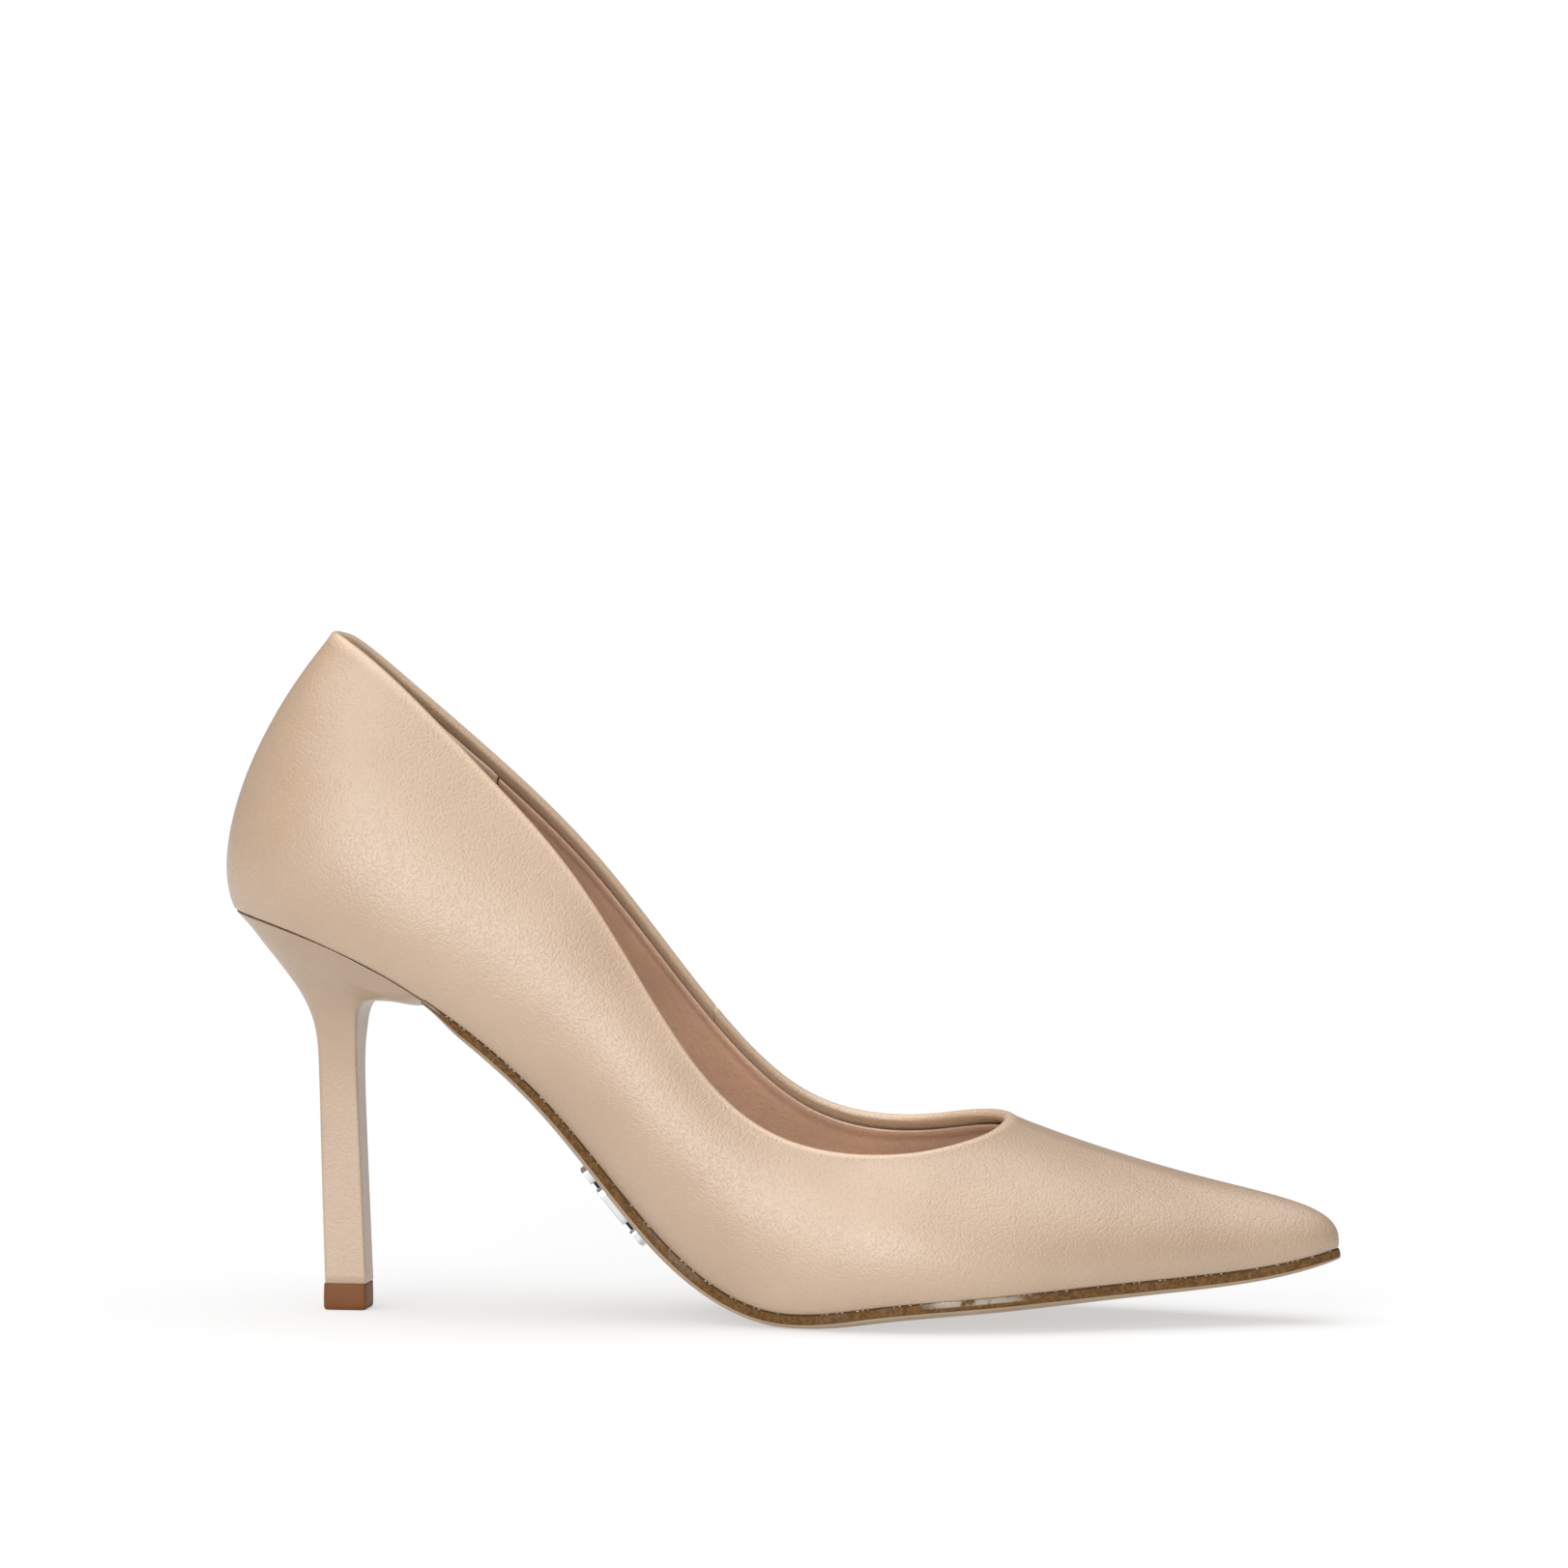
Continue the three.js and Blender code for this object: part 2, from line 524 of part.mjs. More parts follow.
const PIN_RADIUS = 1;
const PIN_BOTTOM = 2.2;
const PIN_TOP = 18;
const dowelBody = bar(onDowel(TIP_HEIGHT + 2 * GAP), onDowel(DOWEL_TOP), 2.2, 2.2, 12);
const dowel = cut(dowelBody, [bar(onDowel(TIP_HEIGHT), onDowel(PIN_TOP + GAP), PIN_RADIUS + HOLE)]);
const pin = bar(onDowel(PIN_BOTTOM), onDowel(PIN_TOP), PIN_RADIUS);

// The top piece is a little wider than the heel and has a bevelled lower edge
function topPieceRing(z, grow) {
  const ring = [];
  for (let k = 0; k < HEEL_SIDES; k++) {
    const angle = (2 * Math.PI * k) / HEEL_SIDES;
    const c = Math.cos(angle);
    const s = Math.sin(angle);
    const x = -99.4 + (4.55 + grow) * Math.sign(c) * Math.abs(c) ** 0.5;
    ring.push(new THREE.Vector3(x, (4.55 + grow) * Math.sign(s) * Math.abs(s) ** 0.5, z));
  }
  return ring;
}
const topPieceBody = loft(
  [[0, -0.5], [0.6, 0.05], [3, 0.1], [TIP_HEIGHT, 0.2]].map(([z, grow]) => topPieceRing(z, grow)),
  { cap: 'fan' });
const topPiece = cut(topPieceBody, [
  bar(onDowel(PIN_BOTTOM - GAP), onDowel(TIP_HEIGHT + 1), PIN_RADIUS + HOLE)]);

// ---------------------------------------------------------------- finishes and scene
const finish = (color, roughness, metalness = 0) => new THREE.MeshStandardMaterial(
  { color, roughness, metalness, side: THREE.FrontSide });
const NAPPA = finish(0xd3b798, 0.42);
const HEEL_LEATHER = finish(0xd0b498, 0.42);
const LINING_LEATHER = finish(0xb98a72, 0.6);
const GRIP_LEATHER = finish(0xcbb093, 0.7);
const STIFF_FELT = finish(0xd8d2c4, 0.9);
const BOARD = finish(0x8a8478, 0.9);
const STEEL = finish(0x9a9ca0, 0.35, 0.9);
const CHROME = finish(0xd0d2d6, 0.12, 1);
const BROWN_SOLE = finish(0x73533a, 0.7);
const PALE_SOLE = finish(0xb49a7c, 0.6);
const POLYURETHANE = finish(0x8c5c3a, 0.35);
const CORE_PLASTIC = finish(0xe6e2da, 0.5);
const FOAM = finish(0xe8dcae, 0.95);
const CORK = finish(0xa8845c, 0.95);

const group = new THREE.Group();
group.name = 'court_shoe';

function addPiece(name, geometry, material) {
  const mesh = new THREE.Mesh(geometry, material);
  mesh.name = name;
  group.add(mesh);
}

addPiece('upper', upper, NAPPA);
addPiece('vamp_lining', vampLining, LINING_LEATHER);
addPiece('heel_grip_lining', gripLining, GRIP_LEATHER);
addPiece('toe_puff', toePuff, STIFF_FELT);
addPiece('heel_counter', counter, STIFF_FELT);
addPiece('topline_tape', toplineTape, STIFF_FELT);
addPiece('insole_board', insole, BOARD);
addPiece('steel_shank', shank, STEEL);
RIVETS.forEach((x, i) => addPiece(`shank_rivet_${i + 1}`, assemble(rivetParts(x, 0)), STEEL));
addPiece('forepart_filler', filler, CORK);
addPiece('sock_foam_pad', pad, FOAM);
addPiece('sock_lining', sock, GRIP_LEATHER);
addPiece('outsole', outsole, BROWN_SOLE);
addPiece('outsole_veneer', veneer, PALE_SOLE);
addPiece('heel_core', heelCore, CORE_PLASTIC);
addPiece('heel_cover', heelCover, HEEL_LEATHER);
addPiece('heel_dowel', dowel, STEEL);
addPiece('top_piece', topPiece, POLYURETHANE);
addPiece('top_piece_pin', pin, STEEL);
addPiece('heel_screw', assemble(screwParts(0)), STEEL);
NAILS.forEach((spot, i) => addPiece(`heel_nail_${i + 1}`, assemble(nailParts(spot, 0)), STEEL));
addPiece('sole_badge', badge, CHROME);

// The origin stands under the middle of the whole shoe
const box = new THREE.Box3().setFromObject(group);
group.position.set(-(box.min.x + box.max.x) / 2, -(box.min.y + box.max.y) / 2, 0);

export default group;
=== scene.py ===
"""Pointed-toe stiletto court shoe, right foot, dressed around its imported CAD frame."""

import math

import bmesh
import bpy
import numpy as np
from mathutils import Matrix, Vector


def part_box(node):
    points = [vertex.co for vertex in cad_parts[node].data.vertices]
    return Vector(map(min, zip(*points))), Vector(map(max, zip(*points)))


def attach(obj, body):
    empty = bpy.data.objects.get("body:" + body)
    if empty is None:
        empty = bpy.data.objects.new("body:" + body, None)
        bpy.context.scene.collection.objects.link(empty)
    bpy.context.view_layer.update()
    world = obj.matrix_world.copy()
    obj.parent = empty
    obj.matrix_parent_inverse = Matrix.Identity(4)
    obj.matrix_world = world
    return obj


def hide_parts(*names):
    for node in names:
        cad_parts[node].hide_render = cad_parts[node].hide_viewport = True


bl_info = {
    "name": "Court Shoe Maker",
    "version": (1, 0, 0),
    "blender": (4, 5, 0),
    "location": "View3D > Sidebar > Court Shoe",
    "description": "Builds the leather, linings, sole and heel of a stiletto court shoe",
    "category": "Add Mesh",
}

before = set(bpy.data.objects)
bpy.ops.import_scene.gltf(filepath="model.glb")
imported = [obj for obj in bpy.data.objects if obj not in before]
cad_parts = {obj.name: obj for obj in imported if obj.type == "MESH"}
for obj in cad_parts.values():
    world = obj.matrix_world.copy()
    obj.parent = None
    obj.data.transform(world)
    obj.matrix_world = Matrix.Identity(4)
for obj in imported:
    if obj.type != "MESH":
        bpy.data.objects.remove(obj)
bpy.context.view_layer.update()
BODY = "root"
MM = 0.001

# ------------------------------------------------------------------ the last, in millimetres
# Ribs of the upper, from the back seam along the outer side to the toe tip and back along the
# inner side: feather, wall, belly, brow and topline points of each.
RIBS = np.array([
    [[-124.6, 0, 90.3], [-127.5, 0, 97.2], [-128, 0, 107.7], [-122.1, 0, 129.2], [-102.2, 0, 152.1]],
    [[-117.5, -14, 88.7], [-120, -18, 95.7], [-119, -20.5, 106.7], [-110.3, -16.5, 126.7],
     [-97.6, -6.2, 150.3]],
    [[-98, -21.5, 82.2], [-99, -27.5, 88.7], [-98, -30.5, 99.7], [-92, -25.5, 120.7], [-84, -11.5, 140.2]],
    [[-76, -22, 70.2], [-75.5, -29, 77.2], [-74, -32.5, 87.7], [-69, -27, 106.7], [-63, -16, 120]],
    [[-50, -19.5, 48], [-49, -27.5, 54.7], [-48, -33, 65.7], [-44, -29, 82.7], [-40.5, -21, 94.7]],
    [[-25.2, -20, 19.05], [-25, -29.5, 26.7], [-24, -35, 38.7], [-21, -31.5, 53.7], [-17.5, -26, 60.2]],
    [[-0.6, -27, 3.9], [-0.5, -35, 10.2], [0.5, -37.5, 20.7], [3, -33.5, 34.7], [4.5, -28.4, 42.2]],
    [[24.6, -33.5, 5.3], [25, -39.5, 10.7], [25.5, -40, 20.7], [26, -34.5, 31.7], [26.5, -26.3, 38.9]],
    [[50, -31.5, 7.8], [51.5, -37, 13.7], [50, -35, 23.7], [45, -26.5, 34.2], [40, -19.8, 40.5]],
    [[77, -21.5, 10.2], [78.5, -26, 17.2], [74, -22.5, 27.7], [60, -14.5, 36.7], [47.5, -11, 42.7]],
    [[103, -9, 12.3], [104.5, -12.5, 19.7], [97, -8.5, 28.2], [72, -4.5, 36.1], [50, -4, 44.5]],
    [[118.2, -2, 14.9], [120.5, -4.5, 23.2], [106, -2, 28.5], [75, -0.8, 35.3], [50.4, -1.2, 45.1]],
    [[123.8, 4.5, 16.3], [126, 4.5, 28.8], [108, 4, 27.7], [76, 2.5, 34.5], [50.4, 1.5, 45.5]],
    [[118.8, 10.5, 14.9], [121, 13.5, 23.2], [107, 9.5, 28.5], [75.5, 5.5, 35.3], [50.2, 4.2, 45.6]],
    [[105, 14, 12.5], [106, 18, 19.7], [98, 14.5, 28.2], [73, 8.5, 36.1], [49.3, 7, 45.6]],
    [[79, 23.5, 10.3], [80, 28.5, 17.7], [75, 24.5, 28.7], [61, 17, 38.2], [45.5, 13.5, 45.5]],
    [[51, 31.5, 7.8], [52, 37.5, 13.7], [50, 36, 24.7], [44, 27, 36.2], [37, 20.7, 44.3]],
    [[24.6, 34, 5.3], [25, 40, 10.7], [25, 40.5, 21.7], [24, 34.5, 34.2], [22.5, 26.6, 42.7]],
    [[-0.6, 27, 3.9], [-0.5, 34.5, 10.2], [0, 36.5, 21.7], [1.5, 33, 36.7], [0.5, 29, 47.7]],
    [[-25.2, 17, 19.45], [-25, 27, 27.7], [-24, 32.5, 39.7], [-22.5, 31, 56.7], [-21.5, 26, 69.2]],
    [[-50, 14, 48.3], [-49.5, 23.5, 55.2], [-48.5, 30.5, 66.7], [-46, 28, 85.7], [-44, 20.5, 99]],
    [[-76, 19, 70.4], [-75.5, 27, 77.5], [-74.5, 31.5, 88.7], [-70.5, 26, 108.2], [-66, 15, 122.1]],
    [[-98, 20.5, 82.3], [-99, 26.5, 88.7], [-98, 29.5, 99.7], [-92.5, 24.5, 121.2], [-86, 11, 140]],
    [[-117.5, 14, 88.7], [-120, 17.5, 95.7], [-119, 20, 106.7], [-110.3, 16, 127.2], [-98.1, 6, 150.3]],
])
RIB_COUNT = len(RIBS)
TOE = RIB_COUNT // 2
TIP_CENTRE = (-99.4, 0.0)  # middle of the top piece, before the shoe is moved over its origin
TREAD_LEVEL = 2.6  # height of the feather surface where the sole stands on the ground
CROWN = 0.03  # how far the feather surface sags between its edges, as a share of its width

# Heel sections from the seat down: back x, front x, half width, back z, front z, and how square
# the section is at its back and at its front
HEEL = [
    (-120.2, -80.6, 17.6, 85.9, 69.2, 2.2, 5),
    (-117.6, -84.9, 15.8, 82.6, 69.8, 2.3, 5.5),
    (-114.9, -89, 13.9, 79.3, 70.1, 2.4, 6),
    (-112.3, -92.2, 12.0, 76, 69.9, 2.6, 7),
    (-109.8, -94.3, 10.2, 72.6, 68.7, 2.9, 9),
    (-107.8, -95.3, 8.6, 69.1, 66.5, 3.5, 11),
    (-106.3, -95.7, 7.2, 65.4, 63.1, 4.6, 13),
    (-105.3, -96, 5.9, 60.2, 58.3, 7, 15),
    (-104.9, -95.9, 5.1, 50.7, 49.7, 10, 16),
    (-104.4, -95.2, 4.8, 30.7, 30.7, 14, 18),
    (-103.7, -94.2, 4.75, 6.15, 6.15, 16, 18),
]

tip_low, tip_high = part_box("top_piece")
SHIFT = np.array([
    (tip_low.x + tip_high.x) / 2 / MM - TIP_CENTRE[0],
    (tip_low.y + tip_high.y) / 2 / MM - TIP_CENTRE[1],
    0.0,
])


# ------------------------------------------------------------------ settings
def length(name, description, default):
    return bpy.props.FloatProperty(
        name=name, description=description, default=default, subtype="DISTANCE", unit="LENGTH")


def swatch(name, description, default):
    return bpy.props.FloatVectorProperty(
        name=name, description=description, default=default, size=3, subtype="COLOR")


class ShoeSizes(bpy.types.PropertyGroup):
    """Sizes of the leather work"""
    leather: length("Leather", "Thickness of the upper leather", 0.0011)
    roll: length("Topline roll", "Radius of the folded topline", 0.00125)
    turn_in: length("Turned-in band", "Leather seen inside, above the lining", 0.0016)
    stitch: length("Stitch pitch", "Distance between two stitches", 0.0024)
    around: bpy.props.IntProperty(
        name="Slices", description="Slices made between two ribs", default=14, min=4)


class ShoeColours(bpy.types.PropertyGroup):
    """Colours of the leathers and the sole"""
    nappa: swatch("Nappa", "Upper and heel leather", (0.475, 0.335, 0.225))
    lining: swatch("Lining", "Vamp lining", (0.65, 0.415, 0.285))
    grip: swatch("Heel grip", "Heel grip and sock", (0.72, 0.56, 0.41))
    sole: swatch("Sole edge", "Brown sole", (0.12, 0.056, 0.013))
    lip: swatch("Sole bottom", "Pale bottom layer", (0.33, 0.235, 0.15))
    top_piece: swatch("Top piece", "Polyurethane top piece", (0.165, 0.055, 0.01))


# ------------------------------------------------------------------ curves of the last
def closed_spline(rows):
    """Second derivatives of a smooth closed curve through rows, by relaxation."""
    bend = np.zeros_like(rows)
    second = np.roll(rows, 1, 0) - 2 * rows + np.roll(rows, -1, 0)
    for _ in range(60):
        bend = (6 * second - np.roll(bend, 1, 0) - np.roll(bend, -1, 0)) / 4 * 0.5 + bend * 0.5
    return bend


BEND = closed_spline(RIBS)


def rib_loops(a):
    """The five points of the rib numbered a, for an array of rib numbers."""
    a = np.asarray(a, float) % RIB_COUNT
    i = np.floor(a).astype(int)
    t = (a - i)[..., None, None]
    s = 1 - t
    i, j = i % RIB_COUNT, (i + 1) % RIB_COUNT
    curve = s * RIBS[i] + t * RIBS[j]
    return curve + ((s ** 3 - s) * BEND[i] + (t ** 3 - t) * BEND[j]) / 6


def skin(a, b):
    """Outer face of the upper, for arrays of rib numbers and heights of the same shape."""
    b = np.asarray(b, float)[..., None]
    s = 1 - b
    p = rib_loops(a)
    return (s ** 4 * p[..., 0, :] + 4 * s ** 3 * b * p[..., 1, :] + 6 * s * s * b * b * p[..., 2, :]
            + 4 * s * b ** 3 * p[..., 3, :] + b ** 4 * p[..., 4, :])


def unit(v):
    """Vectors of the length one."""
    return v / np.maximum(np.linalg.norm(v, axis=-1, keepdims=True), 1e-12)


def skin_frame(a, b):
    """Outward normal and upward direction of the skin."""
    step = 0.004
    low, high = np.clip(b - step, 0, 1), np.clip(b + step, 0, 1)
    along = skin(a + step, b) - skin(a - step, b)
    up = skin(a, high) - skin(a, low)
    normal = unit(np.cross(along, up))
    return normal, unit(up)


def inside(a, b, depth):
    """Points under the outer face of the upper."""
    normal, _ = skin_frame(a, b)
    return skin(a, b) - normal * np.asarray(depth, float)[..., None]


def feather(a):
    """The feather edge, where the upper turns under the insole."""
    return rib_loops(a)[..., 0, :]


def middle(s):
    """The middle line of the feather surface, for rib numbers of the outer side."""
    return (feather(s) + feather(RIB_COUNT - s)) / 2


def along_sole(a):
    """Rib numbers of the outer side that lie across from any rib numbers."""
    a = np.asarray(a, float) % RIB_COUNT
    return np.where(a <= TOE, a, RIB_COUNT - a)


def sole_normal(s):
    """Upward normal of the feather surface."""
    c = np.clip(s, 0.4, TOE - 0.4)
    d = middle(c + 0.15) - middle(c - 0.15)
    return unit(np.stack([-d[..., 2], 0 * d[..., 0], d[..., 0]], -1))


def inset_edge(a, inset):
    """The feather edge moved inwards over the feather surface."""
    tangent = feather(a + 0.02) - feather(a - 0.02)
    inward = unit(np.cross(sole_normal(along_sole(a)), tangent))
    return feather(a) + inward * np.asarray(inset, float)[..., None]


def sag(width, share):
    """Drop of the feather surface, for a share from -1 to 1 across it."""
    return CROWN * width * (1 - np.minimum(np.abs(share), 1) ** 4)


def rung(s, side, inset, level):
    """A point over the feather surface: s along it, side from -1 to 1 across it."""
    outer, inner = inset_edge(s, inset), inset_edge(RIB_COUNT - s, inset)
    width = np.linalg.norm(feather(s) - feather(RIB_COUNT - s), axis=-1)
    span = np.linalg.norm(inner - outer, axis=-1)
    point = outer + (inner - outer) * ((side + 1) / 2)[..., None]
    normal = sole_normal(s)
    share = side * span / np.maximum(width, 1)
    point = point - normal * sag(width, share)[..., None]
    point[..., 2] = soft_floor(point[..., 2])
    return point + normal * np.asarray(level, float)[..., None]


def soft_floor(z):
    """Heights kept above the tread level, with a short rounding in place of a corner."""
    blend = 0.25
    over = z - TREAD_LEVEL
    rounded = (over + blend) ** 2 / (4 * blend)
    return TREAD_LEVEL + np.where(over > blend, over, np.where(over < -blend, 0, rounded))


def station_at(x):
    """Rib numbers s whose middle point lies at x, for an array x."""
    table = np.linspace(0, TOE, 2401)
    return np.interp(x, middle(table)[:, 0], table)


def sole_at(x, y, level):
    """Points over the feather surface at x and y."""
    s = station_at(x)
    outer, inner = feather(s)[..., 1], feather(RIB_COUNT - s)[..., 1]
    return rung(s, (y - outer) / (inner - outer) * 2 - 1, 0, level)


def smooth(x, low, high):
    """0 under low, 1 over high and a soft step between them."""
    t = np.clip((x - low) / (high - low), 0, 1)
    return t * t * (3 - 2 * t)


# ------------------------------------------------------------------ meshes
def placed(name, data):
    """A new object in the scene, unturned and at the origin."""
    obj = bpy.data.objects.new(name, data)
    bpy.context.scene.collection.objects.link(obj)
    return obj


def make_object(name, points, faces, uv=None, attributes=None):
    """A smooth mesh object from points in millimetres, before the shoe is moved over its origin."""
    mesh = bpy.data.meshes.new(name)
    mesh.from_pydata(((np.asarray(points) + SHIFT) * MM).tolist(), [], faces)
    if uv is not None:
        layer = mesh.uv_layers.new(name="UVMap")
        corner = np.empty(len(mesh.loops), int)
        mesh.loops.foreach_get("vertex_index", corner)
        layer.data.foreach_set("uv", np.asarray(uv)[corner].astype(np.float32).ravel())
    for key, values in (attributes or {}).items():
        mesh.attributes.new(key, "FLOAT", "POINT").data.foreach_set(
            "value", np.asarray(values, np.float32).ravel())
    mesh.validate()
    mesh.shade_smooth()
    return placed(name, mesh)


def loft(name, rings, closed=False, attributes=None, sharp=None):
    """A solid through rings of equally many points; open lofts get fan ends. Faces point out."""
    rings = np.asarray(rings, float)
    count, around = rings.shape[:2]
    index = np.arange(count * around).reshape(count, around)
    here = index if closed else index[:-1]
    beyond = np.roll(index, -1, 0) if closed else index[1:]
    quads = np.stack([here, np.roll(here, -1, 1), np.roll(beyond, -1, 1), beyond], -1).reshape(-1, 4)
    points = rings.reshape(-1, 3)
    faces = quads.tolist()
    if not closed:
        for row, flip in ((0, True), (count - 1, False)):
            ring = index[row].tolist()
            faces.append(ring[::-1] if flip else ring)
    uv = np.stack(np.meshgrid(
        np.linspace(0, 1, count), np.linspace(0, 1, around), indexing="ij"), -1).reshape(-1, 2)
    obj = make_object(name, points, faces, uv, attributes)
    tidy = bmesh.new()
    tidy.from_mesh(obj.data)
    bmesh.ops.remove_doubles(tidy, verts=tidy.verts, dist=2e-7)
    ends = [f for f in tidy.faces if len(f.verts) > 4]
    if ends:
        bmesh.ops.triangulate(tidy, faces=ends)
    if tidy.calc_volume(signed=True) < 0:
        bmesh.ops.reverse_faces(tidy, faces=tidy.faces)
    tidy.to_mesh(obj.data)
    tidy.free()
    obj.data.shade_smooth()
    if sharp:
        obj.data.set_sharp_from_angle(angle=math.radians(sharp))
    return obj


def finish_piece(obj, material, slot, *nodes):
    """Gives a piece its material and its place in the frame, and hides the CAD nodes that it stands for."""
    if material is not None:
        obj.data.materials.clear()
        obj.data.materials.append(material)
    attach(obj, BODY)
    if nodes:
        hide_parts(*nodes)
    return obj


# ------------------------------------------------------------------ shader maths
def times(colour, factor):
    return tuple(min(c * factor, 1) for c in colour)


class Wire:
    """A socket in a node tree; arithmetic on wires adds Math nodes."""

    def __init__(self, shop, socket):
        self.shop, self.socket = shop, socket

    def _math(self, operation, *values):
        return self.shop.add("ShaderNodeMath", {"operation": operation}, dict(enumerate(values)))

    def __add__(self, other):
        return self._math("ADD", self, other)

    def __sub__(self, other):
        return self._math("SUBTRACT", self, other)

    def __rsub__(self, other):
        return self._math("SUBTRACT", other, self)

    def __mul__(self, other):
        return self._math("MULTIPLY", self, other)

    def within(self):
        return self.shop.add("ShaderNodeClamp", {}, {0: self})

    __radd__ = __add__
    __rmul__ = __mul__


class Shop:
    """One procedural material and the nodes in it."""

    def __init__(self, name):
        self.material = bpy.data.materials.new(name)
        self.material.use_nodes = True
        self.tree = self.material.node_tree
        self.tree.nodes.clear()
        self.shader = self.tree.nodes.new("ShaderNodeBsdfPrincipled")
        output = self.tree.nodes.new("ShaderNodeOutputMaterial")
        self.tree.links.new(self.shader.outputs[0], output.inputs["Surface"])
        self.place = self.add("ShaderNodeTexCoord", {}, {}, "Object")

    def _feed(self, socket, value):
        if isinstance(value, Wire):
            self.tree.links.new(value.socket, socket)
        else:
            socket.default_value = value

    def add(self, kind, settings, inputs, output=0):
        node = self.tree.nodes.new(kind)
        for key, value in settings.items():
            setattr(node, key, value)
        for key, value in inputs.items():
            self._feed(node.inputs[key], value)
        return Wire(self, node.outputs[output])

    def finish(self, **inputs):
        """Feeds the shader's sockets, named with underscores, and gives back the material."""
        for key, value in inputs.items():
            self._feed(self.shader.inputs[key.replace("_", " ")], value)
        return self.material

    def colour(self, factor, a, b):
        """Mix of two colours; plain triples get an alpha of one."""
        full = [c if isinstance(c, Wire) else (*c, 1.0) for c in (a, b)]
        return self.add("ShaderNodeMix", {"data_type": "RGBA"},
                        {0: factor, 6: full[0], 7: full[1]}, 2)

    def mottle(self, pattern, low, high, colour, dark, light):
        """The colour, times dark where the pattern is under low and times light over high."""
        return self.colour(self.ramp(pattern, low, high), times(colour, dark), times(colour, light))

    def noise(self, scale, detail=2.0, rough=0.5, where=None):
        return self.add("ShaderNodeTexNoise", {}, {
            "Vector": where or self.place, "Scale": scale, "Detail": detail, "Roughness": rough})

    def cells(self, scale, feature="F1", where=None):
        return self.add("ShaderNodeTexVoronoi", {"feature": feature}, {
            "Vector": where or self.place, "Scale": scale}, "Distance")

    def ramp(self, factor, low, high):
        return self.add("ShaderNodeMapRange", {"interpolation_type": "SMOOTHSTEP"}, {
            "Value": factor, "From Min": low, "From Max": high})

    def along(self, axis):
        """The object coordinate X, Y or Z."""
        return self.add("ShaderNodeSeparateXYZ", {}, {0: self.place}, axis)

    def attribute(self, name):
        return self.add("ShaderNodeAttribute", {"attribute_name": name}, {}, "Fac")

    def warp(self, amount, scale):
        """Object coordinates pushed about by noise."""
        push = self.add("ShaderNodeTexNoise", {}, {
            "Vector": self.place, "Scale": scale, "Detail": 1.0}, "Color")
        centred = self.add("ShaderNodeVectorMath", {"operation": "SUBTRACT"}, {
            0: push, 1: (0.5, 0.5, 0.5)})
        scaled = self.add("ShaderNodeVectorMath", {"operation": "SCALE"}, {0: centred, "Scale": amount})
        return self.add("ShaderNodeVectorMath", {"operation": "ADD"}, {0: self.place, 1: scaled})

    def stretch(self, factors):
        return self.add("ShaderNodeVectorMath", {"operation": "MULTIPLY"}, {0: self.place, 1: factors})

    def bump(self, height, distance, strength=1.0, under=None):
        inputs = {"Height": height, "Distance": distance, "Strength": strength}
        if under is not None:
            inputs["Normal"] = under
        return self.add("ShaderNodeBump", {}, inputs)


def leather_grain(shop, cell=0.0005, depth=0.00015, crease=0.00006):
    """Fine pebbled grain with soft creases, as a normal and the mask of its valleys."""
    moved = shop.warp(cell * 0.9, 1 / (cell * 2.5))
    pebble = shop.cells(1 / cell, "SMOOTH_F1", moved)
    valley = shop.ramp(pebble, 0.3, 0.75)
    pores = shop.noise(1 / (cell * 0.5), 2.0, 0.6)
    folds = shop.noise(1 / (cell * 4), 3.0, 0.6, shop.warp(cell * 4, 1 / (cell * 8)))
    fine = shop.bump(1 - valley * 0.8 - pores * 0.4, depth, 0.5)
    return shop.bump(folds, crease, 0.5, fine), valley


def upper_painted_shade(shop):
    """Painted shade: the leather a little deeper in tone over the toe and the heel cup."""
    x = shop.along("X")
    return shop.ramp(x, 0.03, 0.125) * 0.17 + (1 - shop.ramp(x, -0.123, -0.095)) * 0.1


def heel_painted_shade(shop):
    """Painted shade: the heel leather a little deeper in tone under the seat."""
    return shop.ramp(shop.along("Z"), 0.058, 0.078) * 0.16


def nappa_material(name, colour, grain, shade):
    """Smooth leather; grain scales the height of its pebbles, shade says where shade is painted darker, and
    a band of marked rows is painted paler as a highlight.
    """
    shop = Shop(name)
    normal, valley = leather_grain(shop, depth=0.00018 * grain)
    cloud = shop.noise(28, 3, 0.55)
    fine = shop.noise(420, 2, 0.6)
    dark = tuple(c * f for c, f in zip(colour, (0.93, 0.90, 0.87)))
    light = tuple(c * f for c, f in zip(colour, (1.04, 1.035, 1.03)))
    base = shop.colour(shop.ramp(cloud, 0.3, 0.7), dark, light)
    speck = shop.colour((fine - 0.5) * 0.5 + valley * 0.16, base, times(colour, 0.82))
    # rows marked on the rolled topline are painted paler: a painted highlight
    topline_highlight = shop.attribute("topline_highlight")
    # painted shade: the colour mixed towards a dark copy of itself where shade says
    with_painted_shade = shop.colour(shade(shop), speck, times(colour, 0.1))
    return shop.finish(
        Base_Color=shop.colour(topline_highlight * 0.6, with_painted_shade, times(colour, 1.45)),
        Roughness=(0.36 + (cloud - 0.5) * 0.12 + valley * 0.1 - topline_highlight * 0.08).within(),
        Normal=normal, Specular_IOR_Level=1.0, Coat_Weight=0.3, Coat_Roughness=0.4)


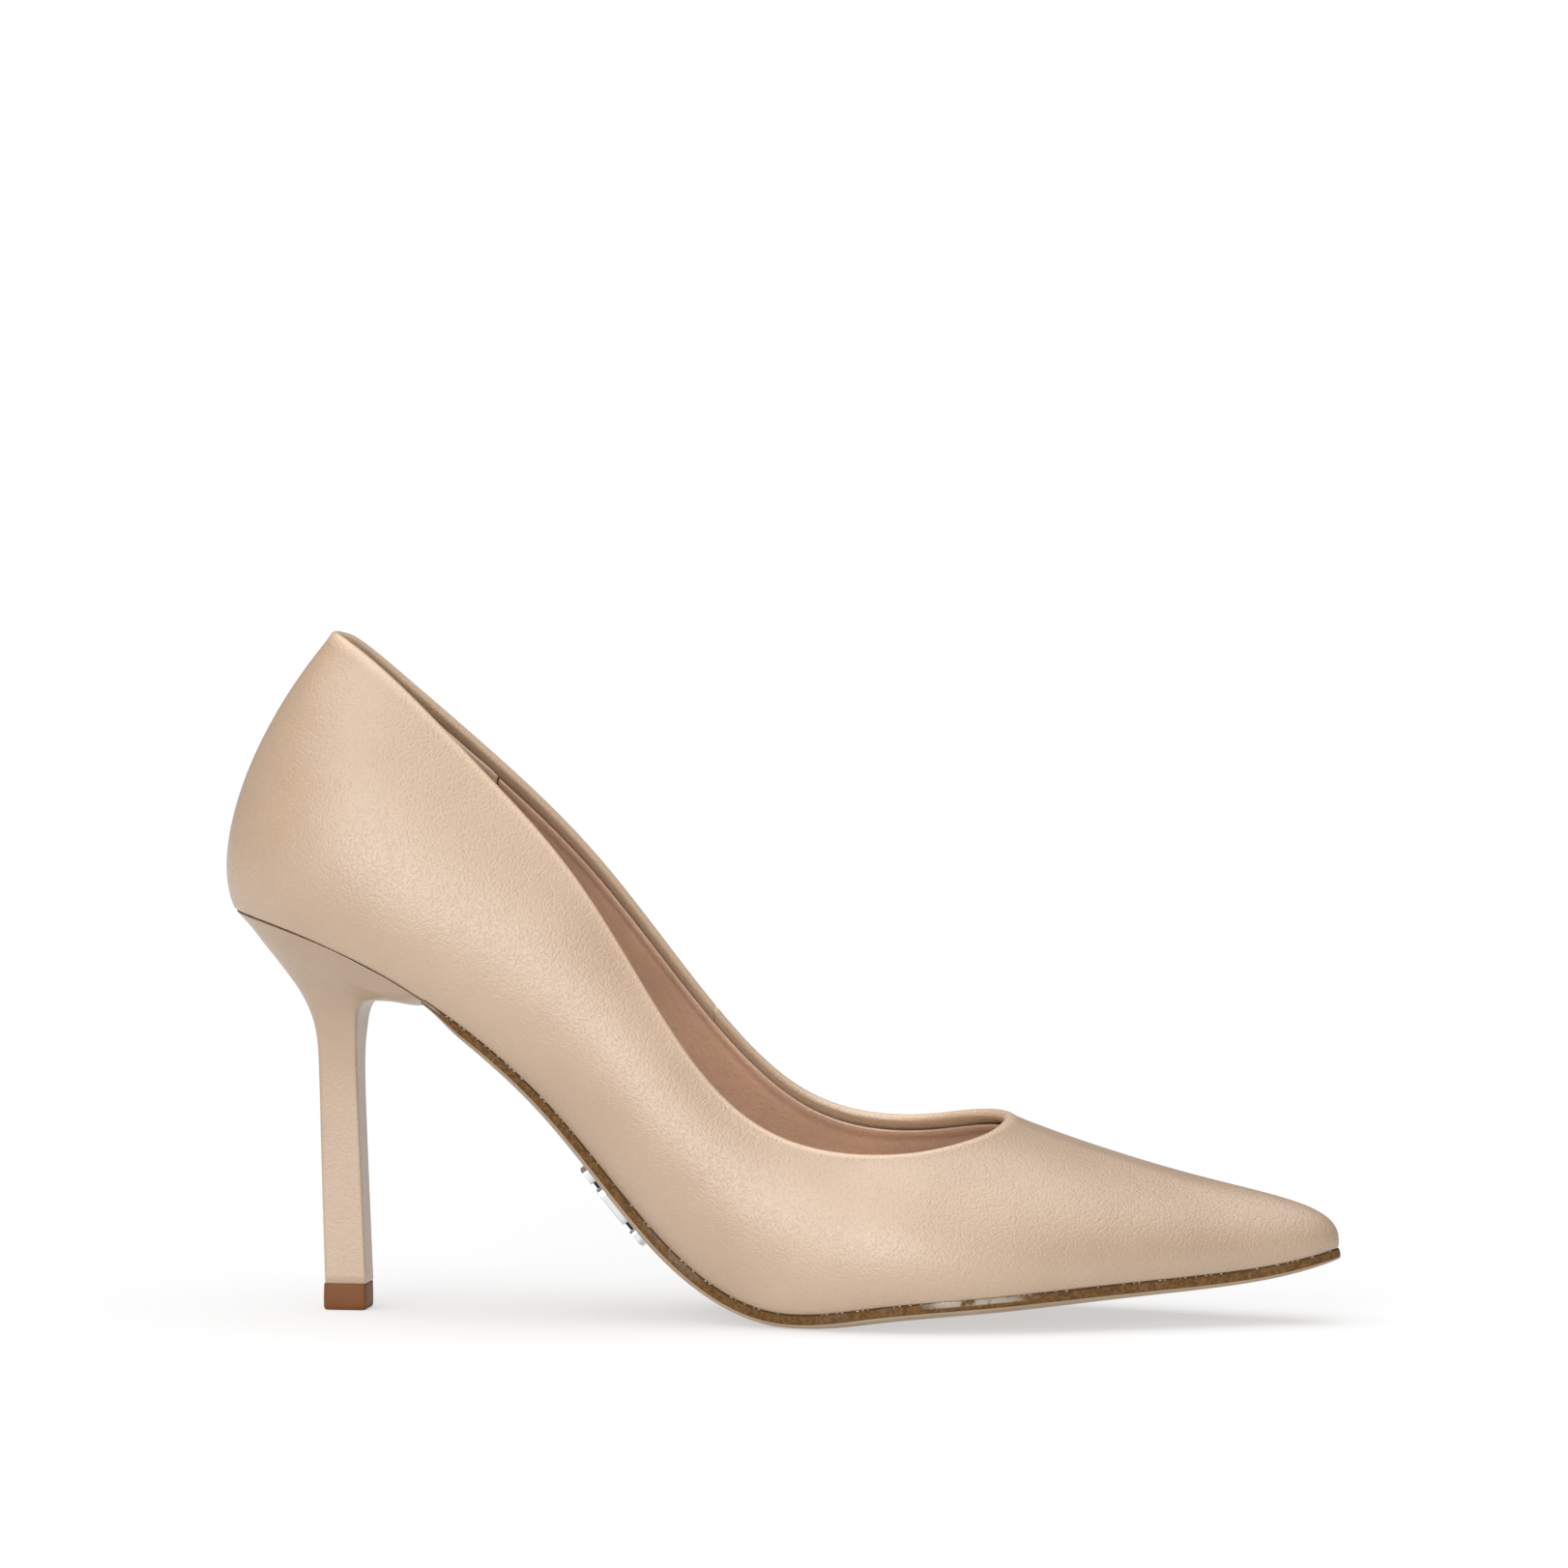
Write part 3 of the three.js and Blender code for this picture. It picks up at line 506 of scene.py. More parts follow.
def lining_material(name, colour):
    """Creased lining leather, with shade painted deeper in tone towards the toe."""
    shop = Shop(name)
    normal, valley = leather_grain(shop, 0.0007, 0.00014, 0.0003)
    cloud = shop.noise(36, 4, 0.6)
    base = shop.mottle(cloud, 0.3, 0.72, colour, 0.88, 1.12)
    # painted shade: the lining darker towards the toe, inside the vamp
    painted_toe_shade = shop.colour(shop.ramp(shop.along("X"), -0.02, 0.04) * 0.36, base, times(colour, 0.3))
    return shop.finish(
        Base_Color=shop.colour(valley * 0.25, painted_toe_shade, times(colour, 0.75)),
        Roughness=(0.36 + (cloud - 0.5) * 0.16).within(), Normal=normal, Specular_IOR_Level=1.0,
        Coat_Weight=0.25, Coat_Roughness=0.35)


def grip_material(name, colour):
    """Napped leather, matte under the heel."""
    shop = Shop(name)
    nap = shop.noise(2600, 3, 0.7)
    cloud = shop.noise(60, 3, 0.6)
    base = shop.mottle(cloud, 0.3, 0.7, colour, 0.9, 1.07)
    return shop.finish(
        Base_Color=shop.colour(nap * 0.35, base, times(colour, 0.78)),
        Roughness=(0.72 + (cloud - 0.5) * 0.16).within(), Normal=shop.bump(nap, 0.00008, 0.6))


def sole_material(name, colour):
    """Brown sole: fibrous and matte, with glossy spots where dressing and glue have run."""
    shop = Shop(name)
    fibre = shop.noise(3200, 3, 0.7)
    coarse = shop.noise(1100, 3, 0.65)
    grit = shop.cells(1900, "F1", shop.warp(0.0004, 1500))
    gloss = shop.ramp(shop.noise(75, 2, 0.5), 0.56, 0.68)
    tone = shop.mottle(coarse, 0.3, 0.7, colour, 0.6, 1.5)
    specks = shop.colour(shop.ramp(fibre, 0.55, 0.8) * 0.5, tone,
                         tuple(min(c * 2.4 + 0.01, 1) for c in colour))
    drop = shop.attribute("drop")
    upper_half = 1 - shop.ramp(drop, 0.45, 0.7)
    glaze = shop.attribute("glaze") * shop.ramp(shop.noise(260, 3, 0.6), 0.3, 0.5) * upper_half
    rough = (0.74 - gloss * 0.3 - glaze * 0.5 + (fibre - 0.5) * 0.2).within()
    normal = shop.bump(fibre * 0.6 + coarse * 0.8 + grit * 0.5, 0.00016, 0.8)
    top_line = (1 - shop.ramp(drop, 0.08, 0.24)) * shop.ramp(coarse, 0.25, 0.6)
    dark = shop.colour(top_line * 0.85, specks, times(colour, 0.35))
    return shop.finish(
        Base_Color=shop.colour(glaze * 0.75, dark, (0.46, 0.39, 0.32)), Roughness=rough,
        Normal=normal, Coat_Weight=(gloss * 0.15 + glaze * 0.6).within(), Specular_IOR_Level=0.3)


def lip_material(name, colour):
    """Pale bottom leather, streaked along the shoe and worn in patches."""
    shop = Shop(name)
    streak = shop.noise(260, 3, 0.6, shop.stretch((0.25, 1.0, 0.25)))
    wear = shop.ramp(shop.noise(45, 4, 0.62), 0.45, 0.7)
    base = shop.colour(streak, times(colour, 0.85), times(colour, 1.12))
    return shop.finish(
        Base_Color=shop.colour(wear * 0.3, base, times(colour, 0.72)),
        Roughness=(0.42 + wear * 0.25).within(),
        Normal=shop.bump(streak + shop.noise(1800, 2, 0.6) * 0.4, 0.00006, 0.5))


def top_piece_material(name, colour):
    """Moulded polyurethane, a little see-through towards its edges."""
    shop = Shop(name)
    cloud = shop.noise(300, 3, 0.55)
    low = 1 - shop.ramp(shop.along("Z"), 0.0, 0.0016)
    tone = shop.colour(cloud * 0.6, times(colour, 0.85), times(colour, 1.35))
    return shop.finish(
        Base_Color=shop.colour(low * 0.35, tone, times(colour, 0.5)),
        Roughness=(0.46 + cloud * 0.14 + low * 0.2).within(), Specular_IOR_Level=0.35,
        Normal=shop.bump(shop.noise(900, 2, 0.5), 0.00005, 0.4),
        Subsurface_Weight=0.1, Subsurface_Scale=0.002,
        Subsurface_Radius=(1.0, 0.45, 0.2), IOR=1.49)


def chrome_material(name):
    shop = Shop(name)
    hair = shop.noise(900, 3, 0.6, shop.stretch((0.15, 1.0, 1.0)))
    smear = shop.ramp(shop.noise(160, 3, 0.6), 0.4, 0.75)
    return shop.finish(
        Base_Color=shop.colour(smear * 0.2, (0.74, 0.76, 0.75), (0.52, 0.54, 0.54)), Metallic=1.0,
        Roughness=(0.07 + hair * 0.05 + smear * 0.08).within(),
        Normal=shop.bump(hair, 0.00001, 0.3))


def steel_material(name):
    shop = Shop(name)
    hair = shop.noise(1400, 3, 0.6, shop.stretch((0.1, 1.0, 1.0)))
    return shop.finish(
        Base_Color=shop.colour(hair, (0.38, 0.39, 0.41), (0.52, 0.53, 0.55)), Metallic=1.0,
        Roughness=(0.28 + hair * 0.16).within(), Normal=shop.bump(hair, 0.00002, 0.4))


def fibre_material(name, colour, scale, depth):
    """Felt, board, foam or cork: a speckled matte filler."""
    shop = Shop(name)
    grain = shop.noise(scale, 4, 0.68)
    cell = shop.cells(scale * 0.7)
    return shop.finish(
        Base_Color=shop.mottle(grain, 0.35, 0.68, colour, 0.72, 1.15),
        Roughness=(0.86 + grain * 0.1).within(),
        Normal=shop.bump(grain + cell * 0.5, depth, 0.7))


def thread_material(name, colour):
    shop = Shop(name)
    twist = shop.add("ShaderNodeTexWave", {"bands_direction": "DIAGONAL"}, {
        "Vector": shop.place, "Scale": 900.0, "Distortion": 0.6})
    return shop.finish(
        Base_Color=shop.colour(twist, times(colour, 0.8), colour),
        Roughness=(0.5 + twist * 0.1).within(), Normal=shop.bump(twist, 0.00004, 0.6))


def glue_material(name):
    shop = Shop(name)
    cloud = shop.noise(700, 2, 0.5)
    return shop.finish(
        Base_Color=shop.colour(cloud, (0.6, 0.52, 0.42), (0.85, 0.8, 0.72)),
        Roughness=(0.08 + cloud * 0.12).within(), Coat_Weight=0.6)


# ------------------------------------------------------------------ geometry nodes
class Tree:
    """A Geometry Nodes tree under construction."""

    def __init__(self, name):
        self.group = bpy.data.node_groups.new(name, "GeometryNodeTree")
        self.group.interface.new_socket("Geometry", in_out="INPUT", socket_type="NodeSocketGeometry")
        self.group.interface.new_socket("Geometry", in_out="OUTPUT", socket_type="NodeSocketGeometry")
        self.start = self.group.nodes.new("NodeGroupInput")
        self.end = self.group.nodes.new("NodeGroupOutput")

    def size(self, name, kind="NodeSocketFloat"):
        """A named input of the tree."""
        self.group.interface.new_socket(name, in_out="INPUT", socket_type=kind)
        return self.start.outputs[name]

    def add(self, kind, settings=None, **inputs):
        """A new node; an input is given by its name, or by its number as i0, i1 and so on."""
        node = self.group.nodes.new(kind)
        for key, value in (settings or {}).items():
            setattr(node, key, value)
        for key, value in inputs.items():
            numbered = key[0] == "i" and key[1:].isdigit()
            socket = node.inputs[int(key[1:]) if numbered else key]
            if isinstance(value, bpy.types.NodeSocket):
                self.group.links.new(value, socket)
            else:
                socket.default_value = value
        return node

    def laid(self, shape, axis, scale, **choice):
        """Copies of a shape at an even pitch, lying along the path, its axis standing outwards."""
        path = self.add("GeometryNodeMeshToCurve", Mesh=self.start.outputs["Geometry"])
        spaced = self.add("GeometryNodeResampleCurve", {"mode": "LENGTH"}, Curve=path.outputs[0],
                          Length=self.size("Pitch"))
        tangent = self.add("GeometryNodeInputTangent")
        outward = self.add("GeometryNodeInputNamedAttribute", {"data_type": "FLOAT_VECTOR"},
                           Name="outward")
        turned = self.add("FunctionNodeAlignRotationToVector", {"axis": "X"}, Vector=tangent.outputs[0])
        stood = self.add("FunctionNodeAlignRotationToVector", {"axis": axis, "pivot_axis": "X"},
                         Rotation=turned.outputs[0], Vector=outward.outputs[0])
        return self.add("GeometryNodeInstanceOnPoints", Points=spaced.outputs[0], Scale=scale,
                        Instance=shape.outputs[0], Rotation=stood.outputs[0], **choice).outputs[0]

    def finish(self, geometry, material):
        """Makes the copies real and paints them."""
        real = self.add("GeometryNodeRealizeInstances", Geometry=geometry)
        painted = self.add("GeometryNodeSetMaterial", Geometry=real.outputs[0], Material=material)
        self.group.links.new(painted.outputs[0], self.end.inputs[0])
        return self.group


def applied(obj, group, sizes):
    """Runs a tree on obj and leaves the result as its plain mesh."""
    modifier = obj.modifiers.new("make", "NODES")
    modifier.node_group = group
    for item in group.interface.items_tree:
        if item.item_type == "SOCKET" and item.in_out == "INPUT" and item.name in sizes:
            modifier[item.identifier] = sizes[item.name]
    bpy.context.view_layer.update()
    evaluated = obj.evaluated_get(bpy.context.evaluated_depsgraph_get())
    mesh = bpy.data.meshes.new_from_object(evaluated)
    obj.modifiers.clear()
    obj.data = mesh
    mesh.shade_smooth()
    return obj


def path_object(name, points, outward):
    """A line of vertices that carries the direction standing out of the surface."""
    mesh = bpy.data.meshes.new(name)
    edges = [(i, i + 1) for i in range(len(points) - 1)]
    mesh.from_pydata(((points + SHIFT) * MM).tolist(), edges, [])
    mesh.attributes.new("outward", "FLOAT_VECTOR", "POINT").data.foreach_set(
        "vector", np.asarray(outward, np.float32).ravel())
    return placed(name, mesh)


def stitch_tree(material):
    """Capsule stitches laid at an even pitch along a path."""
    tree = Tree("Stitch row")
    length, radius = tree.size("Length"), tree.size("Radius")
    bead = tree.add("GeometryNodeMeshUVSphere", Segments=10, Rings=7, Radius=1.0)
    half = tree.add("ShaderNodeMath", {"operation": "MULTIPLY"}, i0=length, i1=0.5)
    shape = tree.add("ShaderNodeCombineXYZ", X=half.outputs[0], Y=radius, Z=radius)
    return tree.finish(tree.laid(bead, "Z", shape.outputs[0]), material)


def bead_tree(material):
    """Flattened drops of glue strewn along a path, the same ones each time."""
    tree = Tree("Glue drops")
    radius, seed = tree.size("Radius"), tree.size("Seed", "NodeSocketInt")
    drop = tree.add("GeometryNodeMeshIcoSphere", Radius=1.0, Subdivisions=2)
    some = tree.add("FunctionNodeRandomValue", {"data_type": "BOOLEAN"}, Probability=0.4, Seed=seed)
    size = tree.add("FunctionNodeRandomValue", {"data_type": "FLOAT_VECTOR"},
                    i0=(0.7, 0.25, 0.2), i1=(2.6, 0.7, 0.45), Seed=seed)
    scale = tree.add("ShaderNodeVectorMath", {"operation": "SCALE"}, i0=size.outputs[0], Scale=radius)
    return tree.finish(tree.laid(drop, "Y", scale.outputs[0], Selection=some.outputs[3]), material)


# ------------------------------------------------------------------ stage
VIEW_WIDTH_MM = 349.6  # width of the view at the shoe
CAMERA_DISTANCE = 2200.0
SENSOR_WIDTH = 36.0
CAMERA_YAW, CAMERA_PITCH = 8.5, 3.3
AIM_HEIGHT = 119.0
AMBIENT = 0.3  # strength of the white surroundings, which the camera sees at full strength
SUNS = {  # where from, spread in degrees and power
    "key": ((-0.15, -0.86, 0.24), 40, 1.7),
    "overhead": ((-0.13, -0.12, 1.0), 80, 2.5),
}
FLOOR_GLOW = 0.52  # glow painted into the paper floor, standing in for light that a lit paper floor throws back up; it also lightens the shadows on the floor


def sun_light(name, direction, spread, power):
    light = bpy.data.lights.new(name, "SUN")
    light.angle = spread
    light.energy = power
    placed(name, light).rotation_euler = Vector(direction).to_track_quat("Z", "Y").to_euler()


class SHOE_OT_stage(bpy.types.Operator):
    """Sets up the camera, the pale floor and the soft studio light"""
    bl_idname = "shoe.stage"
    bl_label = "Stage"

    def execute(self, context):
        scene = context.scene
        yaw, pitch = math.radians(CAMERA_YAW), math.radians(CAMERA_PITCH)
        away = Vector((math.sin(yaw) * math.cos(pitch), -math.cos(yaw) * math.cos(pitch), math.sin(pitch)))
        aim = Vector((SHIFT[0], SHIFT[1], AIM_HEIGHT)) * MM
        camera = bpy.data.cameras.new("Camera")
        camera.sensor_width = SENSOR_WIDTH
        camera.lens = SENSOR_WIDTH * CAMERA_DISTANCE / VIEW_WIDTH_MM
        camera.clip_end = 50
        holder = placed("Camera", camera)
        holder.location = aim + away * CAMERA_DISTANCE * MM
        holder.rotation_euler = (-away).to_track_quat("-Z", "Y").to_euler()
        scene.camera = holder

        world = bpy.data.worlds.new("World")
        world.use_nodes = True
        tree = world.node_tree
        background = tree.nodes["Background"]
        background.inputs[0].default_value = (1, 1, 1, 1)
        seen = tree.nodes.new("ShaderNodeLightPath")
        strength = tree.nodes.new("ShaderNodeMapRange")
        strength.inputs["To Min"].default_value = AMBIENT
        tree.links.new(seen.outputs["Is Camera Ray"], strength.inputs["Value"])
        tree.links.new(strength.outputs[0], background.inputs[1])
        scene.world = world
        scene.view_settings.view_transform = "Standard"

        shop = Shop("floor_paper")
        tint = shop.noise(3, 2, 0.5)
        # the floor glows with painted light, set by FLOOR_GLOW
        paper = shop.finish(
            Base_Color=shop.colour(tint, (0.39, 0.39, 0.39), (0.41, 0.41, 0.41)), Roughness=0.9,
            Specular_IOR_Level=0.1, Emission_Color=(1, 1, 1, 1), Emission_Strength=FLOOR_GLOW)
        bpy.ops.mesh.primitive_plane_add(size=60)
        floor = context.object
        floor.name = "floor"
        floor.data.materials.append(paper)

        for name, (direction, spread, power) in SUNS.items():
            sun_light(name, direction, math.radians(spread), power)
        return {"FINISHED"}


# ------------------------------------------------------------------ upper
def rib_numbers(context, start, end):
    """Evenly spaced slices between two ribs."""
    steps = int(round((end - start) * context.scene.shoe_sizes.around))
    return np.linspace(start, end, steps + 1)


SEAM_RIB = 18.9  # the inner waist seam, at the topline
SEAM_SKEW = -0.55  # how far it leans forward on its way down
SEAM_WIDTH, SEAM_DEPTH, SEAM_SWELL = 0.011, 0.42, 0.10
EDGE_RIDGE, EDGE_WIDTH = 0.28, 1.3  # how far the folded topline stands out, and over what height
MARGIN, MARGIN_LEVEL = 8, 0.3  # reach of the margin under the insole, and its level there
HIGHLIGHT_ROWS = 10  # rows of the rolled edge painted paler, as a painted highlight along the topline
TOPLINE_LIFT = (0.45, 0.95)  # outer and inner side, in millimetres


def inner_side(a):
    """0 on the outer side of the shoe, 1 on the inner side."""
    a = np.asarray(a) % RIB_COUNT
    return smooth(a, TOE - 0.4, TOE + 0.8) * (1 - smooth(a, RIB_COUNT - 0.9, RIB_COUNT))


def topline_lift(a):
    """How much higher the rolled edge stands than the topline of the ribs."""
    back = np.minimum(np.asarray(a) % RIB_COUNT, RIB_COUNT - np.asarray(a) % RIB_COUNT)
    low, high = TOPLINE_LIFT
    return low + (high - low) * np.maximum(inner_side(a), 1 - smooth(back, 0.1, 1.1))


def upper_slices(context):
    """Slices round the upper, closer together beside the waist seam."""
    even = rib_numbers(context, 0, RIB_COUNT)[:-1]
    near = SEAM_RIB + np.linspace(-0.16, 0.16, 33)
    far = even[np.abs(even - SEAM_RIB) > 0.19]
    return np.sort(np.concatenate([far, near]))


def seam_slant(a, height):
    """Moves rib numbers near the waist seam so that the slices lean with it."""
    return a + SEAM_SKEW * (1 - height) * np.exp(-((a - SEAM_RIB) / 0.7) ** 2)


def seam_groove(a, height):
    """Depth of the seam and the swell of the leather on both sides of it."""
    away = (a - SEAM_RIB) / SEAM_WIDTH
    swell = SEAM_SWELL * np.exp(-((np.abs(away) - 2.6) / 1.3) ** 2)
    return (SEAM_DEPTH * np.exp(-away ** 2) - swell) * height


class SHOE_OT_upper(bpy.types.Operator):
    """Lasts the leather upper: rolled topline, full skin and the margin turned under the insole"""
    bl_idname = "shoe.upper"
    bl_label = "Upper"

    def execute(self, context):
        sizes, colours = context.scene.shoe_sizes, context.scene.shoe_colours
        leather, roll, turn_in = sizes.leather / MM, sizes.roll / MM, sizes.turn_in / MM
        a = upper_slices(context)
        normal_sole = sole_normal(along_sole(a))
        width = np.linalg.norm(feather(a) - feather(RIB_COUNT - a), axis=-1)

        def under(inset, level):
            inset = np.broadcast_to(inset, a.shape)
            share = 1 - 2 * inset / np.maximum(width, 1)
            point = inset_edge(a, inset) - normal_sole * sag(width, share)[:, None]
            point[:, 2] = np.maximum(point[:, 2], TREAD_LEVEL)
            return point + normal_sole * level

        margin = np.minimum(MARGIN, 0.22 * width + 1.8)
        rows = [under(margin, MARGIN_LEVEL), under(margin * 0.6 + 0.9, 0.25), under(1.4, 0.15),
                under(0.6, 0.06)]
        end_speed = np.linalg.norm(skin(a, 1) - skin(a, 0.99), axis=-1) / 0.01
        top = 1 - (roll - topline_lift(a)) / end_speed
        for t in np.linspace(0, 1, 64):
            share = t ** 1.15
            b = share * top
            slanted = seam_slant(a, share)
            normal, _ = skin_frame(slanted, b)
            tuck = 0.3 * np.clip(1 - b / 0.02, 0, 1) ** 2 + seam_groove(a, smooth(share, 0.0, 0.08))
            below_edge = (1 - share) * top * end_speed
            tuck = tuck - EDGE_RIDGE * np.exp(-(below_edge / EDGE_WIDTH) ** 2)
            rows.append(skin(slanted, b) - normal * tuck[:, None])
        roll_start = len(rows)
        normal, up = skin_frame(a, top)
        centre = skin(a, top) - normal * (roll - EDGE_RIDGE)
        pinch = roll - seam_groove(a, 0.55)
        for angle in np.radians(np.linspace(0, 180, 15)[1:]):
            rows.append(centre + (normal * math.cos(angle) + up * math.sin(angle)) * pinch[:, None])
        inner = centre - normal * pinch[:, None]
        rows.append(inner - up * turn_in * 0.5)
        rows.append(inner - up * turn_in)
        rows.append(inner - up * (turn_in + 1.0) + normal * 0.1)
        for b in np.linspace(0.93, 0.03, 22):
            rows.append(inside(a, b, leather))
        rows.append(under(leather + 0.5, MARGIN_LEVEL + leather))
        rows.append(under(margin, MARGIN_LEVEL + leather))
        # marks the rows of the rolled edge that get the painted highlight
        topline_highlight = np.zeros(len(rows))
        topline_highlight[roll_start - 1:roll_start + HIGHLIGHT_ROWS] = 1
        upper = loft("upper_leather", np.stack(rows, 1), closed=True,
                     attributes={"topline_highlight": np.tile(topline_highlight, len(a))})
        finish_piece(upper, nappa_material("nappa", tuple(colours.nappa), 1.0, upper_painted_shade),
                     "nappa_leather", "upper")
        return {"FINISHED"}


# ------------------------------------------------------------------ linings
LINING_DEPTH = (2.45, 3.2)  # its two faces, under the outer face of the upper
LINING_FOOT = 0.04  # share of the upper's height where it starts
GRIP_END = 3.0  # rib where the heel grip meets the vamp lining
BUTT_GAP = 0.02
STITCH_SETBACK = 0.07  # of the stitches from the join
STITCH_SHARE, STITCH_RADIUS = 0.72, 0.00022  # length of a stitch as a share of its pitch
# Height, distance below the edge and width of its rolled rim, pressed crease and soft swell
EDGE_BANDS = ((0.28, 0.7, 1.1), (-0.07, 3.0, 0.9), (0.05, 5.0, 2.0))


def edge_relief(a, below, wave):
    """How far the lining stands inwards, by the distance below its edge."""
    pucker = wave * np.sin(a * 23) * np.sin(a * 9.7 + 1) * np.exp(-((below - 2.2) / 2.4) ** 2)
    return sum(high * np.exp(-((below - at) / wide) ** 2) for high, at, wide in EDGE_BANDS) + pucker


def lining_band(name, a, below_roll, wave, context):
    """A sheet of lining between two ribs, with a rounded top edge that stands off the upper."""
    sizes = context.scene.shoe_sizes
    roll, turn_in = sizes.roll / MM, sizes.turn_in / MM
    speed = np.linalg.norm(skin(a, 1) - skin(a, 0.98), axis=-1) / 0.02
    drop = roll - topline_lift(a) + turn_in + below_roll + wave * 0.8 * np.sin(a * 17) * np.sin(a * 7.1)
    top = 1 - drop / speed
    outer, inner = LINING_DEPTH
    half = (inner - outer) / 2
    rows = []
    levels = np.concatenate([np.linspace(LINING_FOOT, 0.72, 20)[:-1], np.linspace(0.72, 1, 34)])
    for t in levels:
        relief = edge_relief(a, (1 - t) * top * speed, wave)
        rows.append(inside(a, t * top, outer + np.maximum(relief * 0.8, -0.2)))
    normal, up = skin_frame(a, top)
    relief = edge_relief(a, 0, wave)[:, None]
    centre = skin(a, top) - normal * (outer + half + relief)
    for angle in np.radians(np.linspace(0, 180, 9)[1:-1]):
        rows.append(centre + normal * half * math.cos(angle) + up * half * math.sin(angle))
    for t in levels[::-1]:
        relief = edge_relief(a, (1 - t) * top * speed, wave)
        rows.append(inside(a, t * top, inner + relief))
    return loft(name, np.stack(rows, 1))


class SHOE_OT_linings(bpy.types.Operator):
    """Fits the vamp lining and the heel grip, with the stitches that join them"""
    bl_idname = "shoe.linings"
    bl_label = "Linings"

    def execute(self, context):
        colours, sizes = context.scene.shoe_colours, context.scene.shoe_sizes
        vamp = lining_band("vamp_lining_leather",
                           rib_numbers(context, GRIP_END + BUTT_GAP, RIB_COUNT - GRIP_END - BUTT_GAP),
                           0.25, 0.0, context)
        finish_piece(vamp, lining_material("lining_leather", tuple(colours.lining)),
                     "lining_leather", "vamp_lining")
        grip = lining_band("heel_grip_leather", rib_numbers(context, -GRIP_END, GRIP_END),
                           -0.1, 0.16, context)
        finish_piece(grip, grip_material("grip_leather", tuple(colours.grip)),
                     "grip_leather", "heel_grip_lining")
        tree = stitch_tree(thread_material("thread", (0.62, 0.46, 0.33)))
        for side, name in ((-1, "outer"), (1, "inner")):
            b = np.linspace(0.14, 0.9, 60)
            a = b * 0 + side * (GRIP_END - STITCH_SETBACK)
            normal, _ = skin_frame(a, b)
            path = path_object(f"grip_stitches_{name}", inside(a, b, LINING_DEPTH[1] + 0.02), -normal)
            applied(path, tree, {"Pitch": sizes.stitch, "Length": sizes.stitch * STITCH_SHARE,
                                 "Radius": STITCH_RADIUS})
            finish_piece(path, None, "grip_leather")
        return {"FINISHED"}


# ------------------------------------------------------------------ sock
PAD_INSET = 5.4
PAD_LOW, PAD_EDGE, PAD_CROWN = 4.75, 5.0, 6.9  # levels of the heel pad over the feather surface
SOCK_LEVEL, SOCK_LIFT = 4.8, 2.3  # the sock's underside in the forepart, and its rise over the pad
SOCK_THICKNESS = 0.85
SOCK_INSET, SOCK_SPREAD = 2.6, 1.7  # and how much wider it lies at the waist


def pillow(name, s, across, inset, low, high):
    """A cushion over the feather surface, for a grid of s along it and shares across it."""
    top, bottom = rung(s, across, inset, high), rung(s, across, inset, low)
    return loft(name, np.concatenate([top, bottom[:, ::-1][:, 1:-1]], 1))


class SHOE_OT_sock(bpy.types.Operator):
    """Lays the foam heel pad and the leather sock over the insole"""
    bl_idname = "shoe.sock"
    bl_label = "Sock and heel pad"

    def execute(self, context):
        colours = context.scene.shoe_colours
        s, side = np.meshgrid(np.linspace(0.12, 3.7, 60), np.linspace(-1, 1, 25), indexing="ij")
        end = smooth(s, 0.1, 0.5) * (1 - smooth(s, 3.2, 3.7))
        crown = (1 - np.abs(side) ** 6) * end
        pad = pillow("heel_pad_foam", s, side, PAD_INSET, PAD_LOW, PAD_EDGE + (PAD_CROWN - PAD_EDGE) * crown)
        finish_piece(pad, fibre_material("foam", (0.8, 0.72, 0.42), 1500, 0.0001), "foam", "sock_foam_pad")

        s, side = np.meshgrid(np.linspace(0.1, TOE - 0.55, 260), np.linspace(-1, 1, 41), indexing="ij")
        edge = 1 - np.abs(side) ** 8
        low = SOCK_LEVEL + (1 - smooth(s, 3.2, 4.7)) * (SOCK_LIFT - 0.7 * (1 - edge))
        inset = SOCK_INSET - SOCK_SPREAD * smooth(s, 3.0, 4.0) * (1 - smooth(s, 6.5, 7.5))
        sock = pillow("sock_leather", s, side, inset, low, low + SOCK_THICKNESS * (0.35 + 0.65 * edge))
        finish_piece(sock, grip_material("sock_leather", tuple(colours.grip)), "grip_leather", "sock_lining")
        return {"FINISHED"}


# ------------------------------------------------------------------ sole
SOLE_START = 2.92  # rib numbers, as all places along the sole
SOLE_END = TOE - 0.02
WAIST_ROUND = 1.1  # how much lower the middle of the waist hangs than its edges, beyond the sag


def waist_weight(s):
    """1 under the waist, 0 under the heel and the ball."""
    return smooth(s, SOLE_START, SOLE_START + 0.7) * (1 - smooth(s, 5.0, 5.9))


def thin_waist(s):
    """Share of the sole's full thickness that it has at s."""
    waist = 0.3 + 0.48 * smooth(s, SOLE_START, SOLE_START + 0.4)
    waist = waist + 0.22 * smooth(s, SOLE_START + 0.1, 5.4)
    return waist * (1 - 0.25 * smooth(s, 9.5, TOE))


